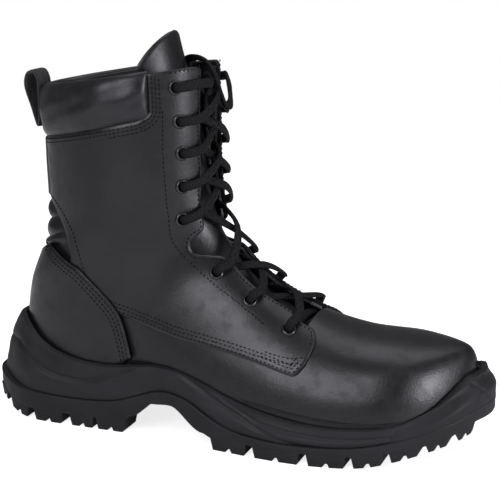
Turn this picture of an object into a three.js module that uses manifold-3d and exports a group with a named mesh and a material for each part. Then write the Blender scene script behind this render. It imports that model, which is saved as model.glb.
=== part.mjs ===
// A lace-up safety boot for the right foot, built up as a shoemaker builds it: a sole, an upper of
// lapped leather panels over a lining, a tongue, eyelets, a lace and a pull loop.
// Millimetres. +x runs from heel to toe, -y is the outer side of the foot, +z is up.
import * as THREE from 'three';
import { mergeVertices } from 'three/addons/utils/BufferGeometryUtils.js';
import Module from 'manifold-3d';

const wasm = await Module();
wasm.setup();

// ---- Driving dimensions -------------------------------------------------------------------------

const BOOT_LENGTH = 311;          // tip of the toe guard to the back of the heel
const BOOT_HEIGHT = 216;          // ground to the front of the top line
const BOOT_WIDTH = 112;           // across the sole at the ball of the foot
const LEATHER = 1.7;              // quarters
const VAMP_LEATHER = 2.1;
const POCKET_LEATHER = 1.5;       // heel pocket and back strip, which lie over the quarters
const LINING = 1.8;
const STIFFENER = 1.9;            // toe cap and heel stiffener
const TONGUE = 3;
const LAYER_GAP = 0.4;            // clearance between any two layers
const EYELET_BORE = 5.5;
const EYELET_BARREL = 6.3;
const EYELET_FLANGE = 9.6;
const FLANGE_THICKNESS = 1;
const LACE = 3;
const LUG_DEPTH = 6.5;
const GUARD_WALL = 3.2;           // rubber over the toe
const RIM_WALL = 3.4;             // midsole wall at its top edge
const INSOLE_BOARD = 2;
const FOOTBED = 4.5;
const PLATE = 1.6;                // plate that stops nails
const WEBBING = 2;                // thickness of the pull loop's webbing
const WEBBING_WIDTH = 16;

// The pattern below is drawn at this size, and graded to the dimensions above.
const PATTERN = { length: 311, height: 216, width: 112 };
const gradeX = BOOT_LENGTH / PATTERN.length;
const gradeY = BOOT_WIDTH / PATTERN.width;
const gradeZ = BOOT_HEIGHT / PATTERN.height;

// ---- The shape of the upper ---------------------------------------------------------------------

// Sections from the tip of the toe, over the instep and up the shaft. Each goes from a point on the
// front ridge to a point on the sole edge or, from the heel upwards, on the back seam. half is the
// half width a quarter, a half, three quarters and all of the way round; middle is its centre in y.
const SECTIONS = [
  { ridge: [147, 49], base: [146, 26], half: [0, 0, 0, 0], middle: 7 },
  { ridge: [140, 62], base: [138, 23], half: [12, 21, 25, 24], middle: 6 },
  { ridge: [113, 67], base: [110, 18], half: [29, 43, 47, 46], middle: 3 },
  { ridge: [81, 69.5], base: [72, 17], half: [30, 46, 51, 50], middle: 0 },
  { ridge: [54, 77], base: [28, 22], half: [27, 43, 48, 46], middle: -1 },
  { ridge: [34, 87], base: [-25, 30], half: [26, 38, 40, 36], middle: -3 },
  { ridge: [18, 100], base: [-82, 31], half: [26, 36, 34, 31], middle: -2 },
  { ridge: [8, 111], base: [-112, 31], half: [27, 37, 31, 25], middle: 0 },
  { ridge: [0, 124], base: [-130, 38], half: [28, 38, 26, 0], middle: 0 },
  { ridge: [-5, 138], base: [-128, 76], half: [30, 40, 25, 0], middle: 0 },
  { ridge: [-8.5, 156], base: [-115.5, 112], half: [31, 42, 26, 0], middle: 0 },
  { ridge: [-9, 182], base: [-115, 156], half: [31, 43, 28, 0], middle: 0 },
  { ridge: [-10, 215], base: [-116, 198], half: [31, 44, 30, 0], middle: 0 },
].map(({ ridge, base, half, middle }) => [
  ridge[0] * gradeX, ridge[1] * gradeZ, base[0] * gradeX, base[1] * gradeZ,
  ...half.map((w) => w * gradeY), middle * gradeY,
]);
const TOE = 0;
const HEEL = 8;                   // the first section whose far end is on the back seam
const TOP = SECTIONS.length - 1;
const COLUMNS = SECTIONS[0].map((_, column) => SECTIONS.map((row) => row[column]));
const WIDTHS = [4, 5, 6, 7];      // where a section's half widths are

const clamp = (x, low, high) => Math.min(Math.max(x, low), high);
const mix = (a, b, f) => a + (b - a) * f;
const ease = (x, from, to) => THREE.MathUtils.smoothstep(x, from, to);

// A smooth curve through the numbers in list, at 0, 1, 2 ...; before is the number before the first.
function smooth(list, x, before = 2 * list[0] - list[1]) {
  const i = clamp(Math.floor(x), 0, list.length - 2);
  const f = x - i;
  const p0 = i > 0 ? list[i - 1] : before;
  const [p1, p2] = [list[i], list[i + 1]];
  const p3 = i + 2 < list.length ? list[i + 2] : 2 * p2 - p1;
  const bend = 2 * p0 - 5 * p1 + 4 * p2 - p3;
  return 0.5 * (2 * p1 + (p2 - p0) * f + bend * f * f + (3 * p1 - p0 - 3 * p2 + p3) * f * f * f);
}

// The section at s. It carries on past the tip of the toe as its own mirror image.
function section(s) {
  const values = COLUMNS.map((list, column) => {
    return smooth(list, Math.abs(s), WIDTHS.includes(column) ? -list[1] : list[1]);
  });
  if (s < TOE) WIDTHS.forEach((column) => { values[column] *= -1; });
  if (s > HEEL - 1) values[7] = Math.max(values[7], 0);
  return values;
}

// A point of the upper's outside. u is 0 on the front ridge, -1 and 1 at the far end of the section,
// and negative on the outer side of the foot.
function outside(s, u) {
  const [ridgeX, ridgeZ, baseX, baseZ, a, b, c, d, middle] = section(s);
  const across = smooth([0, a, b, c, d], Math.abs(u) * 4, -a);
  const along = (1 - Math.cos(Math.PI * u)) / 2;
  const y = middle + (u < 0 ? -across : across);
  return new THREE.Vector3(mix(ridgeX, baseX, along), y, mix(ridgeZ, baseZ, along));
}

function normal(s, u) {
  const step = 1e-3;
  const t = Math.max(s, 0.03);
  const alongS = outside(t + step, u).sub(outside(t - step, u));
  const alongU = outside(t, u + step).sub(outside(t, u - step));
  return alongU.cross(alongS).normalize();
}

// A point lift millimetres outside that surface.
const skin = (s, u, lift = 0) => outside(s, u).addScaledVector(normal(s, u), lift);

// The section and the place on it of a point seen from the side.
const SAMPLES = Array.from({ length: TOP * 4 + 3 }, (_, k) => section(k / 4));

function locate(x, z) {
  const sideOf = ([ridgeX, ridgeZ, baseX, baseZ]) => {
    return (baseX - ridgeX) * (z - ridgeZ) - (baseZ - ridgeZ) * (x - ridgeX);
  };
  const side = (s) => sideOf(section(s));
  let k = 0;
  while (k < SAMPLES.length - 2 && sideOf(SAMPLES[k]) * sideOf(SAMPLES[k + 1]) > 0) k += 1;
  let low = k / 4;
  let high = low + 1 / 4;
  for (let turn = 0; turn < 18; turn += 1) {
    const half = (low + high) / 2;
    if (side(half) * side(low) > 0) low = half;
    else high = half;
  }
  const [ridgeX, ridgeZ, baseX, baseZ] = section(low);
  const [dx, dz] = [baseX - ridgeX, baseZ - ridgeZ];
  const along = clamp(((x - ridgeX) * dx + (z - ridgeZ) * dz) / (dx * dx + dz * dz), 0, 1);
  return { s: low, u: Math.acos(1 - 2 * along) / Math.PI };
}

// A pattern line seen from the side, as a function that gives u at any s.
function trace(points) {
  const found = points.map(([x, z]) => locate(x * gradeX, z * gradeZ)).sort((a, b) => a.s - b.s);
  return (s) => {
    const i = clamp(found.findIndex((p) => p.s > s), 1, found.length - 1);
    const k = s >= found[found.length - 1].s ? found.length - 1 : i;
    const [a, b] = [found[k - 1], found[k]];
    return mix(a.u, b.u, clamp((s - a.s) / (b.s - a.s), 0, 1));
  };
}

// ---- Making solids ------------------------------------------------------------------------------

function solid(positions, triangles) {
  const geometry = new THREE.BufferGeometry();
  geometry.setAttribute('position', new THREE.BufferAttribute(new Float32Array(positions), 3));
  geometry.setIndex(triangles);
  return geometry;
}

// Quads on the upper for u between two lines, one row for each s in rows.
function band(rows, from, to, columns) {
  const quads = [];
  const corner = (i, j) => [rows[i], mix(from(rows[i]), to(rows[i]), j / columns)];
  for (let i = 0; i + 1 < rows.length; i += 1) {
    for (let j = 0; j < columns; j += 1) {
      quads.push([corner(i, j), corner(i + 1, j), corner(i + 1, j + 1), corner(i, j + 1)]);
    }
  }
  return quads;
}

const span = (from, to, count) => Array.from({ length: count + 1 }, (_, i) => mix(from, to, i / count));
const mirrored = (quads) => quads.map((quad) => quad.map(([s, u]) => [s, -u]));
const onBothSides = (quads) => [...quads, ...mirrored(quads)];
const level = (u) => () => u;

// A closed sheet over the quads, from lift inner to lift outer. Either may be a function of s and u.
function sheet(quads, inner, outer) {
  const lift = (value, s, u) => (typeof value === 'function' ? value(s, u) : value);
  const points = [];
  const known = new Map();
  const vertex = ([s, u]) => {
    const place = outside(s, u);
    const key = place.toArray().map((value) => Math.round(value * 1e3)).join(' ');
    if (!known.has(key)) {
      known.set(key, points.length);
      points.push({ inside: skin(s, u, lift(inner, s, u)), out: skin(s, u, lift(outer, s, u)) });
    }
    return known.get(key);
  };
  // At the tip of the toe the two sides share a face, once from each side, and both copies go.
  const found = new Map();
  for (const quad of quads) {
    const [p, second, r, fourth] = quad.map(vertex);
    const [q, t] = quad[0][1] + quad[2][1] < 0 ? [fourth, second] : [second, fourth];
    for (const face of [[p, q, t], [q, r, t]]) {
      const corners = [...face].sort((a, b) => a - b).join(' ');
      if (new Set(face).size < 3) continue;
      if (found.has(corners)) found.delete(corners);
      else found.set(corners, face);
    }
  }
  const faces = [...found.values()];
  const count = points.length;
  const edges = new Set(faces.flatMap(([a, b, c]) => [`${a} ${b}`, `${b} ${c}`, `${c} ${a}`]));
  const triangles = faces.flatMap(([a, b, c]) => [a, b, c, a + count, c + count, b + count]);
  for (const edge of edges) {
    const [a, b] = edge.split(' ').map(Number);
    if (!edges.has(`${b} ${a}`)) triangles.push(b, a, a + count, b, a + count, b + count);
  }
  const positions = [...points.map((p) => p.out), ...points.map((p) => p.inside)].flatMap((p) => p.toArray());
  return outwards(solid(positions, triangles));
}

// A solid through rings of points. With ladder, both ends close with rungs from one half of the
// ring to the other; without it, the last ring joins the first.
function loft(rings, ladder = true) {
  const size = rings[0].length;
  const triangles = [];
  const last = ladder ? rings.length - 1 : rings.length;
  for (let i = 0; i < last; i += 1) {
    for (let j = 0; j < size; j += 1) {
      const [a, b] = [i * size + j, i * size + (j + 1) % size];
      const next = ((i + 1) % rings.length) * size;
      const [c, d] = [next + (j + 1) % size, next + j];
      triangles.push(a, b, c, a, c, d);
    }
  }
  if (ladder) {
    const end = (rings.length - 1) * size;
    for (let j = 0; j < size / 2; j += 1) {
      const quad = [j, j + 1, (2 * size - j - 1) % size, (size - j) % size];
      for (const face of [[quad[0], quad[1], quad[2]], [quad[0], quad[2], quad[3]]]) {
        if (new Set(face).size < 3) continue;
        triangles.push(face[2], face[1], face[0]);
        triangles.push(...face.map((k) => k + end));
      }
    }
  }
  return solid(rings.flat().flatMap((p) => p.toArray()), triangles);
}

// The signed volume of a closed mesh, and the mesh turned the right way out.
function outwards(geometry) {
  const index = geometry.index.array;
  const position = geometry.attributes.position;
  const [a, b, c] = [new THREE.Vector3(), new THREE.Vector3(), new THREE.Vector3()];
  let volume = 0;
  for (let i = 0; i < index.length; i += 3) {
    a.fromBufferAttribute(position, index[i]);
    b.fromBufferAttribute(position, index[i + 1]);
    c.fromBufferAttribute(position, index[i + 2]);
    volume += a.dot(b.cross(c));
  }
  if (volume < 0) geometry.setIndex(Array.from(index).reverse());
  return geometry;
}

function toManifold(geometry) {
  const bare = geometry.clone();
  bare.deleteAttribute('normal');
  bare.deleteAttribute('uv');
  const merged = outwards(mergeVertices(bare, 1e-4));
  const vertProperties = new Float32Array(merged.attributes.position.array);
  const triVerts = new Uint32Array(merged.index.array);
  return new wasm.Manifold(new wasm.Mesh({ numProp: 3, vertProperties, triVerts }));
}

function fromManifold(body) {
  const mesh = body.getMesh();
  return solid(mesh.vertProperties, Array.from(mesh.triVerts));
}

function cut(geometry, tools) {
  return fromManifold(tools.reduce((body, tool) => body.subtract(toManifold(tool)), toManifold(geometry)));
}

function join(geometry, others) {
  return fromManifold(others.reduce((body, other) => body.add(toManifold(other)), toManifold(geometry)));
}

// ---- Layers, from the outside inwards, as lifts from the outside of the quarters ----------------

const pocketInner = LAYER_GAP;
const pocketOuter = LAYER_GAP + POCKET_LEATHER;
const quarterInner = -LEATHER;
const vampOuter = quarterInner - LAYER_GAP;
const vampInner = vampOuter - VAMP_LEATHER;
const stiffOuter = vampInner - LAYER_GAP;
const stiffInner = stiffOuter - STIFFENER;
const liningOuter = stiffInner - LAYER_GAP;
const liningInner = liningOuter - LINING;
const stayOuter = quarterInner - 1.3 * LAYER_GAP;
const stayInner = stayOuter - LEATHER;
const barrelInner = stayInner - 0.9;
const laceInside = barrelInner - 0.9 - LACE / 2;
const laceOutside = FLANGE_THICKNESS + 1.2 + LACE / 2;
const tongueOuter = laceInside - LACE / 2 - LAYER_GAP - 0.2;
const tongueInner = tongueOuter - TONGUE;

// ---- Pattern lines, seen from the side -----------------------------------------------------------

const FACING_EDGE = [
  [-13, 215], [-13, 178], [-12, 138], [-10, 122], [-15, 117], [-16, 112], [-13, 108], [-5, 107],
  [3, 105], [16, 94], [28, 86], [45, 77], [50, 73], [57, 70], [60, 66], [60, 63],
];
const QUARTER_LOW_EDGE = [
  [57, 54], [52, 48.5], [45, 49], [33, 52], [14, 56], [-5, 59], [-24, 62], [-57, 71], [-66, 74],
];
const COUNTER_EDGE = [
  [-108, 105], [-105, 106], [-88, 99], [-81, 96], [-68, 85], [-57, 72], [-51, 56], [-48, 43], [-46, 34],
];
const ACHILLES_EDGE = [[-110, 133], [-100, 129], [-87, 115], [-80, 96], [-76, 88]];
const EYELETS = [[-23, 203], [-21, 184], [-20, 166], [-20, 147], [-20, 128], [-1, 98], [20, 84], [44, 70]];
const COLLAR_BOTTOM = 11.3;       // section along which the quarters meet the collar
const COLLAR_FRONT = 0.33;        // where the collar starts behind the facing
const QUARTER_FRONT = 3.62;       // section at the front tab of the quarters
const PAD_TOP = 10.45;            // section at the top of the flex pad over the heel tendon
const POCKET_TOP = 9.66;          // section at the top of the heel pocket
const THROAT = 3.98;              // section at the back edge of the vamp
const VAMP_WING = 0.43;           // top edge of the vamp's wings, under the quarters

const facingEdge = trace(FACING_EDGE);
const quarterLowEdge = trace(QUARTER_LOW_EDGE);
const counterEdge = trace(COUNTER_EDGE);
const achillesEdge = trace(ACHILLES_EDGE);
const eyeletPlaces = EYELETS.map(([x, z]) => locate(x * gradeX, z * gradeZ));
const laceAt = (eyelet, side, lift, towardsEdge = 0) => {
  const { s, u } = eyeletPlaces[eyelet];
  return skin(s, side * mix(u, facingEdge(s), towardsEdge), lift);
};

// ---- Upper --------------------------------------------------------------------------------------

// A round cutter or ring that stands on the upper at an eyelet.
function standAt(geometry, eyelet, side) {
  const { s, u } = eyeletPlaces[eyelet];
  const turn = new THREE.Quaternion().setFromUnitVectors(new THREE.Vector3(0, 1, 0), normal(s, side * u));
  geometry.applyQuaternion(turn);
  const place = outside(s, side * u);
  return geometry.translate(place.x, place.y, place.z);
}

function eyeletCutters(side) {
  const sides = 8;
  const bore = (EYELET_BARREL / 2 + LAYER_GAP) / Math.cos(Math.PI / sides);
  return eyeletPlaces.map((_, i) => standAt(new THREE.CylinderGeometry(bore, bore, 30, sides), i, side));
}

// The quarter: the side of the boot, from the lacing edge back to the heel tendon.
function quarter(side) {
  const rows = [
    QUARTER_FRONT, 3.8, 4.08, 4.33, 4.8, 5.3, 5.8, 6.4, 6.84, 7.28, 7.55, 7.87, 8.1, 8.3, 8.8, 9.3, 9.8, 10.3,
    10.8, COLLAR_BOTTOM,
  ];
  const strip = [COLLAR_BOTTOM, 11.55, 11.8, 12.0];
  const back = rows.filter((s) => s >= 7.28);
  const lowEdge = (s) => (s < 7.28 ? quarterLowEdge(s) : quarterLowEdge(7.28));
  const front = (s) => mix(facingEdge(s), lowEdge(s), 0.5);
  const collarStart = (s) => (s < COLLAR_BOTTOM ? front(s) : COLLAR_FRONT);
  const seam = (s) => {
    return s < 9.2 ? Math.max(achillesEdge(s) + 0.04, 0.62) : Math.min(achillesEdge(s) + 0.03, 0.93);
  };
  const rear = (s) => (s > PAD_TOP ? 0.93 : seam(s));
  const quads = [
    ...band(rows, facingEdge, collarStart, 3),
    ...band(rows, collarStart, lowEdge, 3),
    ...band(back, lowEdge, rear, 4),
    ...band(strip, facingEdge, level(COLLAR_FRONT), 3),
  ];
  const body = sheet(side < 0 ? mirrored(quads) : quads, quarterInner, 0);
  return cut(body, eyeletCutters(side));
}

// The stay behind the eyelets that keeps the lacing edge from stretching.
function facingStay(side) {
  const rows = [4.08, 4.33, 4.8, 5.3, 5.8, 6.4, 6.84, 7.28, 7.6, 8.0, 8.3, 9.0, 9.8, 10.6, 11.3, 11.9];
  const start = (s) => facingEdge(s) + 0.012;
  const quads = band(rows, start, level(0.32), 3);
  return cut(sheet(side < 0 ? mirrored(quads) : quads, stayInner, stayOuter), eyeletCutters(side));
}

// The vamp: over the toes, with wings that run back under the quarters and the heel pocket.
function vamp() {
  const toe = [TOE, 0.35, 0.7, 1, 1.35, 1.7, 2.1, 2.6, 3.1, 3.5, 3.75, THROAT];
  const wings = [THROAT, 4.4, 4.9, 5.4, 6.0, 6.6, 7.2, 7.7];
  const quads = [
    ...band(toe, level(0), level(VAMP_WING), 5),
    ...band(toe, level(VAMP_WING), level(1), 6),
    ...band(wings, level(VAMP_WING), level(1), 6),
  ];
  return sheet(onBothSides(quads), vampInner, vampOuter);
}

// Panels that run under the heel stop short of its middle, and meet at the back seam above it.
const heelFoot = (s) => (s < HEEL ? 0.88 : 1);

function heelPocket() {
  const rows = [5.76, 6.3, 6.8, 7.3, 7.65, HEEL, 8.3, 8.8, 9.1, 9.4, POCKET_TOP];
  return sheet(onBothSides(band(rows, counterEdge, heelFoot, 9)), pocketInner, pocketOuter);
}

// A padded panel with two rolls, over the heel tendon, so that the boot bends there.
function achillesPad() {
  const rows = [9.1, 9.45, 9.62, 9.75, 9.88, 10.0, 10.12, 10.25, PAD_TOP - 0.08];
  const edge = (s) => achillesEdge(s) + 0.015;
  const crown = (s, u) => {
    const inFromEdge = clamp((Math.abs(u) - achillesEdge(s) - 0.07) / 0.06, 0, 1);
    return vampOuter + 2.6 * inFromEdge * ease(s, POCKET_TOP, POCKET_TOP + 0.15);
  };
  return sheet(onBothSides(band(rows, edge, level(1), 6)), vampInner, crown);
}

function backStrip() {
  const rows = [PAD_TOP + 0.02, 10.7, 10.95, COLLAR_BOTTOM - 0.04];
  return sheet(onBothSides(band(rows, level(0.9), level(1), 2)), pocketInner, pocketOuter);
}

// The padded collar, round the back of the top line from one facing to the other.
function collar() {
  const rows = [COLLAR_BOTTOM + 0.05, 11.42, 11.55, 11.7, 11.85, 11.97, 12.04];
  const rise = [vampOuter, 1.2, 2.4, 2.8, 2.2, 0.4, -3.2];
  const crown = (s, u) => {
    const around = Math.abs(u);
    const full = ease(around, COLLAR_FRONT, COLLAR_FRONT + 0.05) * (1 - 0.5 * ease(around, 0.85, 1));
    const at = rise[rows.indexOf(s)];
    return at > vampOuter ? mix(vampOuter, at, full) : at;
  };
  const quads = onBothSides(band(rows, level(COLLAR_FRONT + 0.012), level(1), 9));
  return sheet(quads, liningOuter + LAYER_GAP, crown);
}

// ---- Inside the upper ----------------------------------------------------------------------------

function toeCap() {
  const rows = [TOE, 0.35, 0.7, 1, 1.35, 1.7, 2.1];
  return sheet(onBothSides(band(rows, level(0), level(0.97), 7)), stiffInner, stiffOuter);
}

function heelStiffener() {
  const rows = [6.2, 6.8, 7.4, HEEL, 8.5, 9.0, 9.4];
  const edge = (s) => counterEdge(s) + 0.06;
  return sheet(onBothSides(band(rows, edge, level(1), 8)), stiffInner, stiffOuter);
}

// Foam between the quarters and the lining, round the ankle and the back of the shaft.
function anklePadding() {
  const rows = [9.75, 10.0, 10.3, 10.6, 10.95, COLLAR_BOTTOM - 0.03];
  const quads = onBothSides(band(rows, level(0.31), level(1), 9));
  return sheet(quads, stiffInner + LAYER_GAP, vampInner - LAYER_GAP);
}

function vampLining() {
  const toe = [TOE, 0.35, 0.7, 1, 1.35, 1.7, 2.1, 2.8, 3.5, THROAT];
  const side = [THROAT, 4.4, 5, 5.8, 6.6, 7.2, 7.6];
  const quads = [
    ...band(toe, level(0), level(0.3), 2),
    ...band(toe, level(0.3), level(1), 5),
    ...band(side, level(0.3), level(1), 5),
  ];
  return sheet(onBothSides(quads), liningInner, liningOuter);
}

function shaftLining() {
  const rows = [7.65, HEEL, 8.5, 9, 9.5, 10, 10.6, 11.3, 12];
  return sheet(onBothSides(band(rows, level(0.31), heelFoot, 9)), liningInner, liningOuter);
}

// ---- Tongue ---------------------------------------------------------------------------------------

const TONGUE_EDGE = 0.27;
const TONGUE_TOP = 11.45;         // section where the tongue leans back from the lacing
const TIP_RISE = 36;              // from there to its tip
const TIP_LEAN = 11;
const TIP_SPREAD = 0.3;           // how much wider it is above the facings, as a share
const HINGE_GAP = 0.6;

function tongue() {
  const rows = [4.05, 4.6, 5.3, 6, 6.7, 7.4, 8.1, 8.8, 9.5, 10.2, 10.8, TONGUE_TOP];
  const lean = (s) => 5 * ease(s, 10.2, TONGUE_TOP) + 1 - ease(s, 4.05, 4.8);
  const quads = onBothSides(band(rows, level(0), level(TONGUE_EDGE), 4));
  return sheet(quads, (s) => tongueInner - lean(s), (s) => tongueOuter - lean(s));
}

// The top of the tongue, which stands above the lacing and leans back into the opening.
function tongueTip() {
  const foot = skin(TONGUE_TOP, 0, tongueOuter - 5);
  const wing = skin(TONGUE_TOP, TONGUE_EDGE, tongueOuter - 5);
  const halfWidth = wing.y;
  const curl = (foot.x - wing.x) / (halfWidth * halfWidth);
  const sag = 0.004;
  const rings = [];
  for (const up of [0, 0.15, 0.3, 0.45, 0.6, 0.78, 0.92, 1]) {
    const half = halfWidth * (1 + TIP_SPREAD * ease(up, 0.15, 0.45)) * Math.sqrt(1 - up ** 2.4 * 0.96);
    const height = foot.z + HINGE_GAP + TIP_RISE * up;
    const front = foot.x - TIP_LEAN * up ** 0.8;
    const place = (f, back) => {
      const y = half * f;
      return new THREE.Vector3(front - curl * y * y - back, y, height - sag * y * y);
    };
    const across = [-1, -0.75, -0.5, -0.25, 0, 0.25, 0.5, 0.75, 1];
    rings.push([...across.map((f) => place(f, 0)), ...across.map((f) => place(-f, TONGUE))]);
  }
  return stackOf(rings);
}

// A solid through rings, each end closed with a fan from its first point.
function stackOf(rings) {
  const size = rings[0].length;
  const triangles = [];
  for (let i = 0; i + 1 < rings.length; i += 1) {
    for (let j = 0; j < size; j += 1) {
      const [a, b] = [i * size + j, i * size + ((j + 1) % size)];
      triangles.push(a, b, b + size, a, b + size, a + size);
    }
  }
  const end = (rings.length - 1) * size;
  for (let j = 0; j < size / 2 - 1; j += 1) {
    const quad = [j, j + 1, size - j - 2, size - j - 1];
    triangles.push(quad[2], quad[1], quad[0], quad[3], quad[2], quad[0]);
    triangles.push(end + quad[0], end + quad[1], end + quad[2], end + quad[0], end + quad[2], end + quad[3]);
  }
  return outwards(solid(rings.flat().flatMap((p) => p.toArray()), triangles));
}

// ---- Sole -----------------------------------------------------------------------------------------

// The edge of the sole from above: the tip of the toe, the outer side to the heel, the inner side back.
const SOLE_EDGE = [
  [155.5, 7], [147, -19], [126, -39], [95, -51], [55, -56], [10, -51], [-35, -43], [-80, -41], [-120, -38],
  [-147, -22], [-155.5, 0], [-147, 23], [-120, 38], [-80, 37], [-35, 36], [10, 45], [55, 54], [95, 56],
  [126, 47], [147, 31],
].map(([x, y]) => [x * gradeX, y * gradeY]);
const RING = 72;

function edgeOfSole(t) {
  const n = SOLE_EDGE.length;
  const i = Math.floor(t * n);
  const f = t * n - i;
  const near = [-1, 0, 1, 2].map((k) => SOLE_EDGE[(i + k + n) % n]);
  return [0, 1].map((axis) => smooth(near.map((p) => p[axis]), 1 + f));
}

// Heights of the sole's own lines at x, in the pattern's size.
const heights = (list) => (x) => {
  const at = clamp(x / gradeX, list[0][0], list[list.length - 1][0]);
  const i = clamp(list.findIndex(([px]) => px > at), 1, list.length - 1);
  const k = at >= list[list.length - 1][0] ? list.length - 1 : i;
  const [a, b] = [list[k - 1], list[k]];
  return gradeZ * mix(a[1], b[1], ease(at, a[0], b[0]));
};
const ground = heights([[-150, 2.5], [-135, 0], [88, 0], [120, 4], [150, 13]]);
const underside = heights([
  [-155, 9], [-135, LUG_DEPTH], [-58, LUG_DEPTH], [-50, 10], [-34, 19], [-22, 19], [-2, 8], [4, LUG_DEPTH],
  [88, LUG_DEPTH], [122, 10], [152, 17],
]);
const split = heights([
  [-155, 18], [-60, 16], [-30, 25], [-10, 22], [15, 11], [90, 11], [125, 15], [152, 20.5],
]);
const rim = heights([
  [-134, 61], [-118, 55], [-95, 47], [-62, 43], [-35, 45], [-16, 42], [10, 32], [35, 25], [60, 23], [85, 24],
  [110, 29], [130, 38], [145, 52], [150, 54],
]);
const guard = (x) => ease(x, 102 * gradeX, 130 * gradeX);

// The feet of the sections give the edge of the upper at the sole.
const featherHeight = heights([[-131, 31], [-25, 30], [28, 22], [72, 17], [110, 18], [138, 23], [146, 25]]);

// How far in from the edge of the sole the upper's outside is, at height z.
function reach(t, z) {
  const [x, y] = edgeOfSole(t);
  const [ax, ay] = edgeOfSole((t + 0.996) % 1);
  const [bx, by] = edgeOfSole((t + 0.004) % 1);
  const size = Math.hypot(bx - ax, by - ay);
  const inward = [(by - ay) / size, -(bx - ax) / size];
  const within = (d) => {
    const [px, py] = [x + inward[0] * d, y + inward[1] * d];
    const { s, u } = locate(px, z);
    const here = outside(s, u);
    if (Math.hypot(here.x - px, here.z - z) > 0.2) return false;
    const middle = section(s)[8];
    return Math.abs(py - middle) < here.y - middle;
  };
  let [low, high] = [0, 1];
  while (high < 60 && !within(high)) {
    low = high;
    high += 1;
  }
  for (let k = 0; k < 16; k += 1) {
    const half = (low + high) / 2;
    if (within(half)) high = half;
    else low = half;
  }
  return { x, y, inward, distance: high };
}

// A ring round the sole. inset is measured in from the edge, or out from the upper when it is given.
function soleRing(height, inset) {
  return Array.from({ length: RING }, (_, k) => {
    const t = k / RING;
    const [edgeX] = edgeOfSole(t);
    const z = height(edgeX);
    const { x, y, inward, distance } = reach(t, Math.max(z, featherHeight(edgeX) + 1.5));
    const d = inset(x, distance, t);
    return new THREE.Vector3(x + inward[0] * d, y + inward[1] * d, z);
  });
}

// The heel pocket makes the upper thicker where the sole wraps it, and the vamp alone is thinner.
function upperOutside(x) {
  return mix(pocketOuter + LAYER_GAP, vampOuter, ease(x, -44 * gradeX, -34 * gradeX)) + LAYER_GAP;
}

// How far in the toe guard's outside leans, from the outsole to its top edge.
const guardLean = (f) => 5.2 * ease(f, 0.45, 1);

function midsole() {
  const floor = (x) => featherHeight(x) - PLATE - 3 * LAYER_GAP;
  const top = (x) => rim(x) - 1.5 * guard(x);
  // The outside of the wall at a share f of its height, held back behind the toe guard.
  const wall = (f, inset) => (x, d) => {
    const behindGuard = Math.min(guardLean(f) + GUARD_WALL + 5 * LAYER_GAP, d - upperOutside(x) - 0.8);
    return mix(Math.min(inset(d - upperOutside(x)), d - upperOutside(x) - 0.8), behindGuard, guard(x));
  };
  const rings = [
    soleRing((x) => split(x) + LAYER_GAP / 2, wall(0, () => 1.5)),
    soleRing((x) => mix(split(x), top(x), 0.25), wall(0.25, () => 0.4)),
    soleRing((x) => mix(split(x), top(x), 0.6), wall(0.6, (d) => 0.5 * (d - RIM_WALL))),
    soleRing((x) => top(x) - 1.2, wall(0.95, (d) => d - RIM_WALL)),
    soleRing(top, (x, d) => d - upperOutside(x) - RIM_WALL * mix(0.4, 0.2, guard(x))),
    soleRing((x) => mix(floor(x), top(x), 0.85), (x, d) => d - upperOutside(x)),
    soleRing((x) => mix(floor(x), top(x), 0.5), (x, d) => d - upperOutside(x)),
    soleRing((x) => mix(floor(x), top(x), 0.25), (x, d) => d - upperOutside(x)),
    soleRing((x) => floor(x), (x, d) => d - upperOutside(x) + 0.5),
  ];
  return outwards(loft(rings));
}

// A plate that fills the upper at the height bottom, its edge held in from the upper's outside. The
// last part of the way in is towards the middle of the heel or the toes, so that no part folds over.
function plateAt(bottom, thickness, inset) {
  const held = (height) => soleRing(height, (x, d) => d).map((place) => {
    const centre = new THREE.Vector3(Math.max(-98 * gradeX, Math.min(100 * gradeX, place.x)), 0, place.z);
    return place.clone().add(centre.sub(place).setLength(inset));
  });
  return outwards(loft([held(bottom), held((x) => bottom(x) + thickness)]));
}

const LUG_ROWS = [
  { from: -147, to: -127, taper: 2 }, { from: -120, to: -100, taper: 2 }, { from: -92, to: -76, taper: 2 },
  { from: -72, to: -57, taper: 2 }, { from: 3, to: 22, taper: 2 }, { from: 29, to: 48, taper: 2 },
  { from: 55, to: 72, taper: 2 }, { from: 78, to: 94, taper: 2 }, { from: 100, to: 113, taper: 2 },
  { from: 118, to: 129, taper: 1.5 }, { from: 133, to: 145, taper: 1.5 },
];
const LUG_GAP = 7;
const LUG_LENGTH = 22;
const NARROWEST_LUG = 5;          // half width of the smallest lug in the middle row

// How far the sole reaches out on one side at x.
function soleHalf(x, side) {
  let best = 0;
  for (let k = 0; k < 200; k += 1) {
    const [ex, ey] = edgeOfSole(k / 200);
    if (Math.abs(ex - x) < 3 && ey * side > best) best = ey * side;
  }
  return best;
}

// One lug: a block that narrows towards the ground.
function lug(x0, x1, y0, y1, taper) {
  const top = (x) => underside(x) + 1.2;
  const corner = (x, y, z) => new THREE.Vector3(x, y, z);
  const [xa, xb] = [Math.min(x0, x1) + taper, Math.max(x0, x1) - taper];
  const [ya, yb] = [Math.min(y0, y1), Math.max(y0, y1)];
  const ring = (xs, ys, height) => {
    const places = [[xs[0], ys[0]], [xs[1], ys[0]], [xs[1], ys[1]], [xs[0], ys[1]]];
    return places.map(([x, y]) => corner(x, y, height(x)));
  };
  return stackOf([ring([xa, xb], [ya + taper, yb - taper], ground), ring([x0, x1], [ya, yb], top)]);
}

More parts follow.
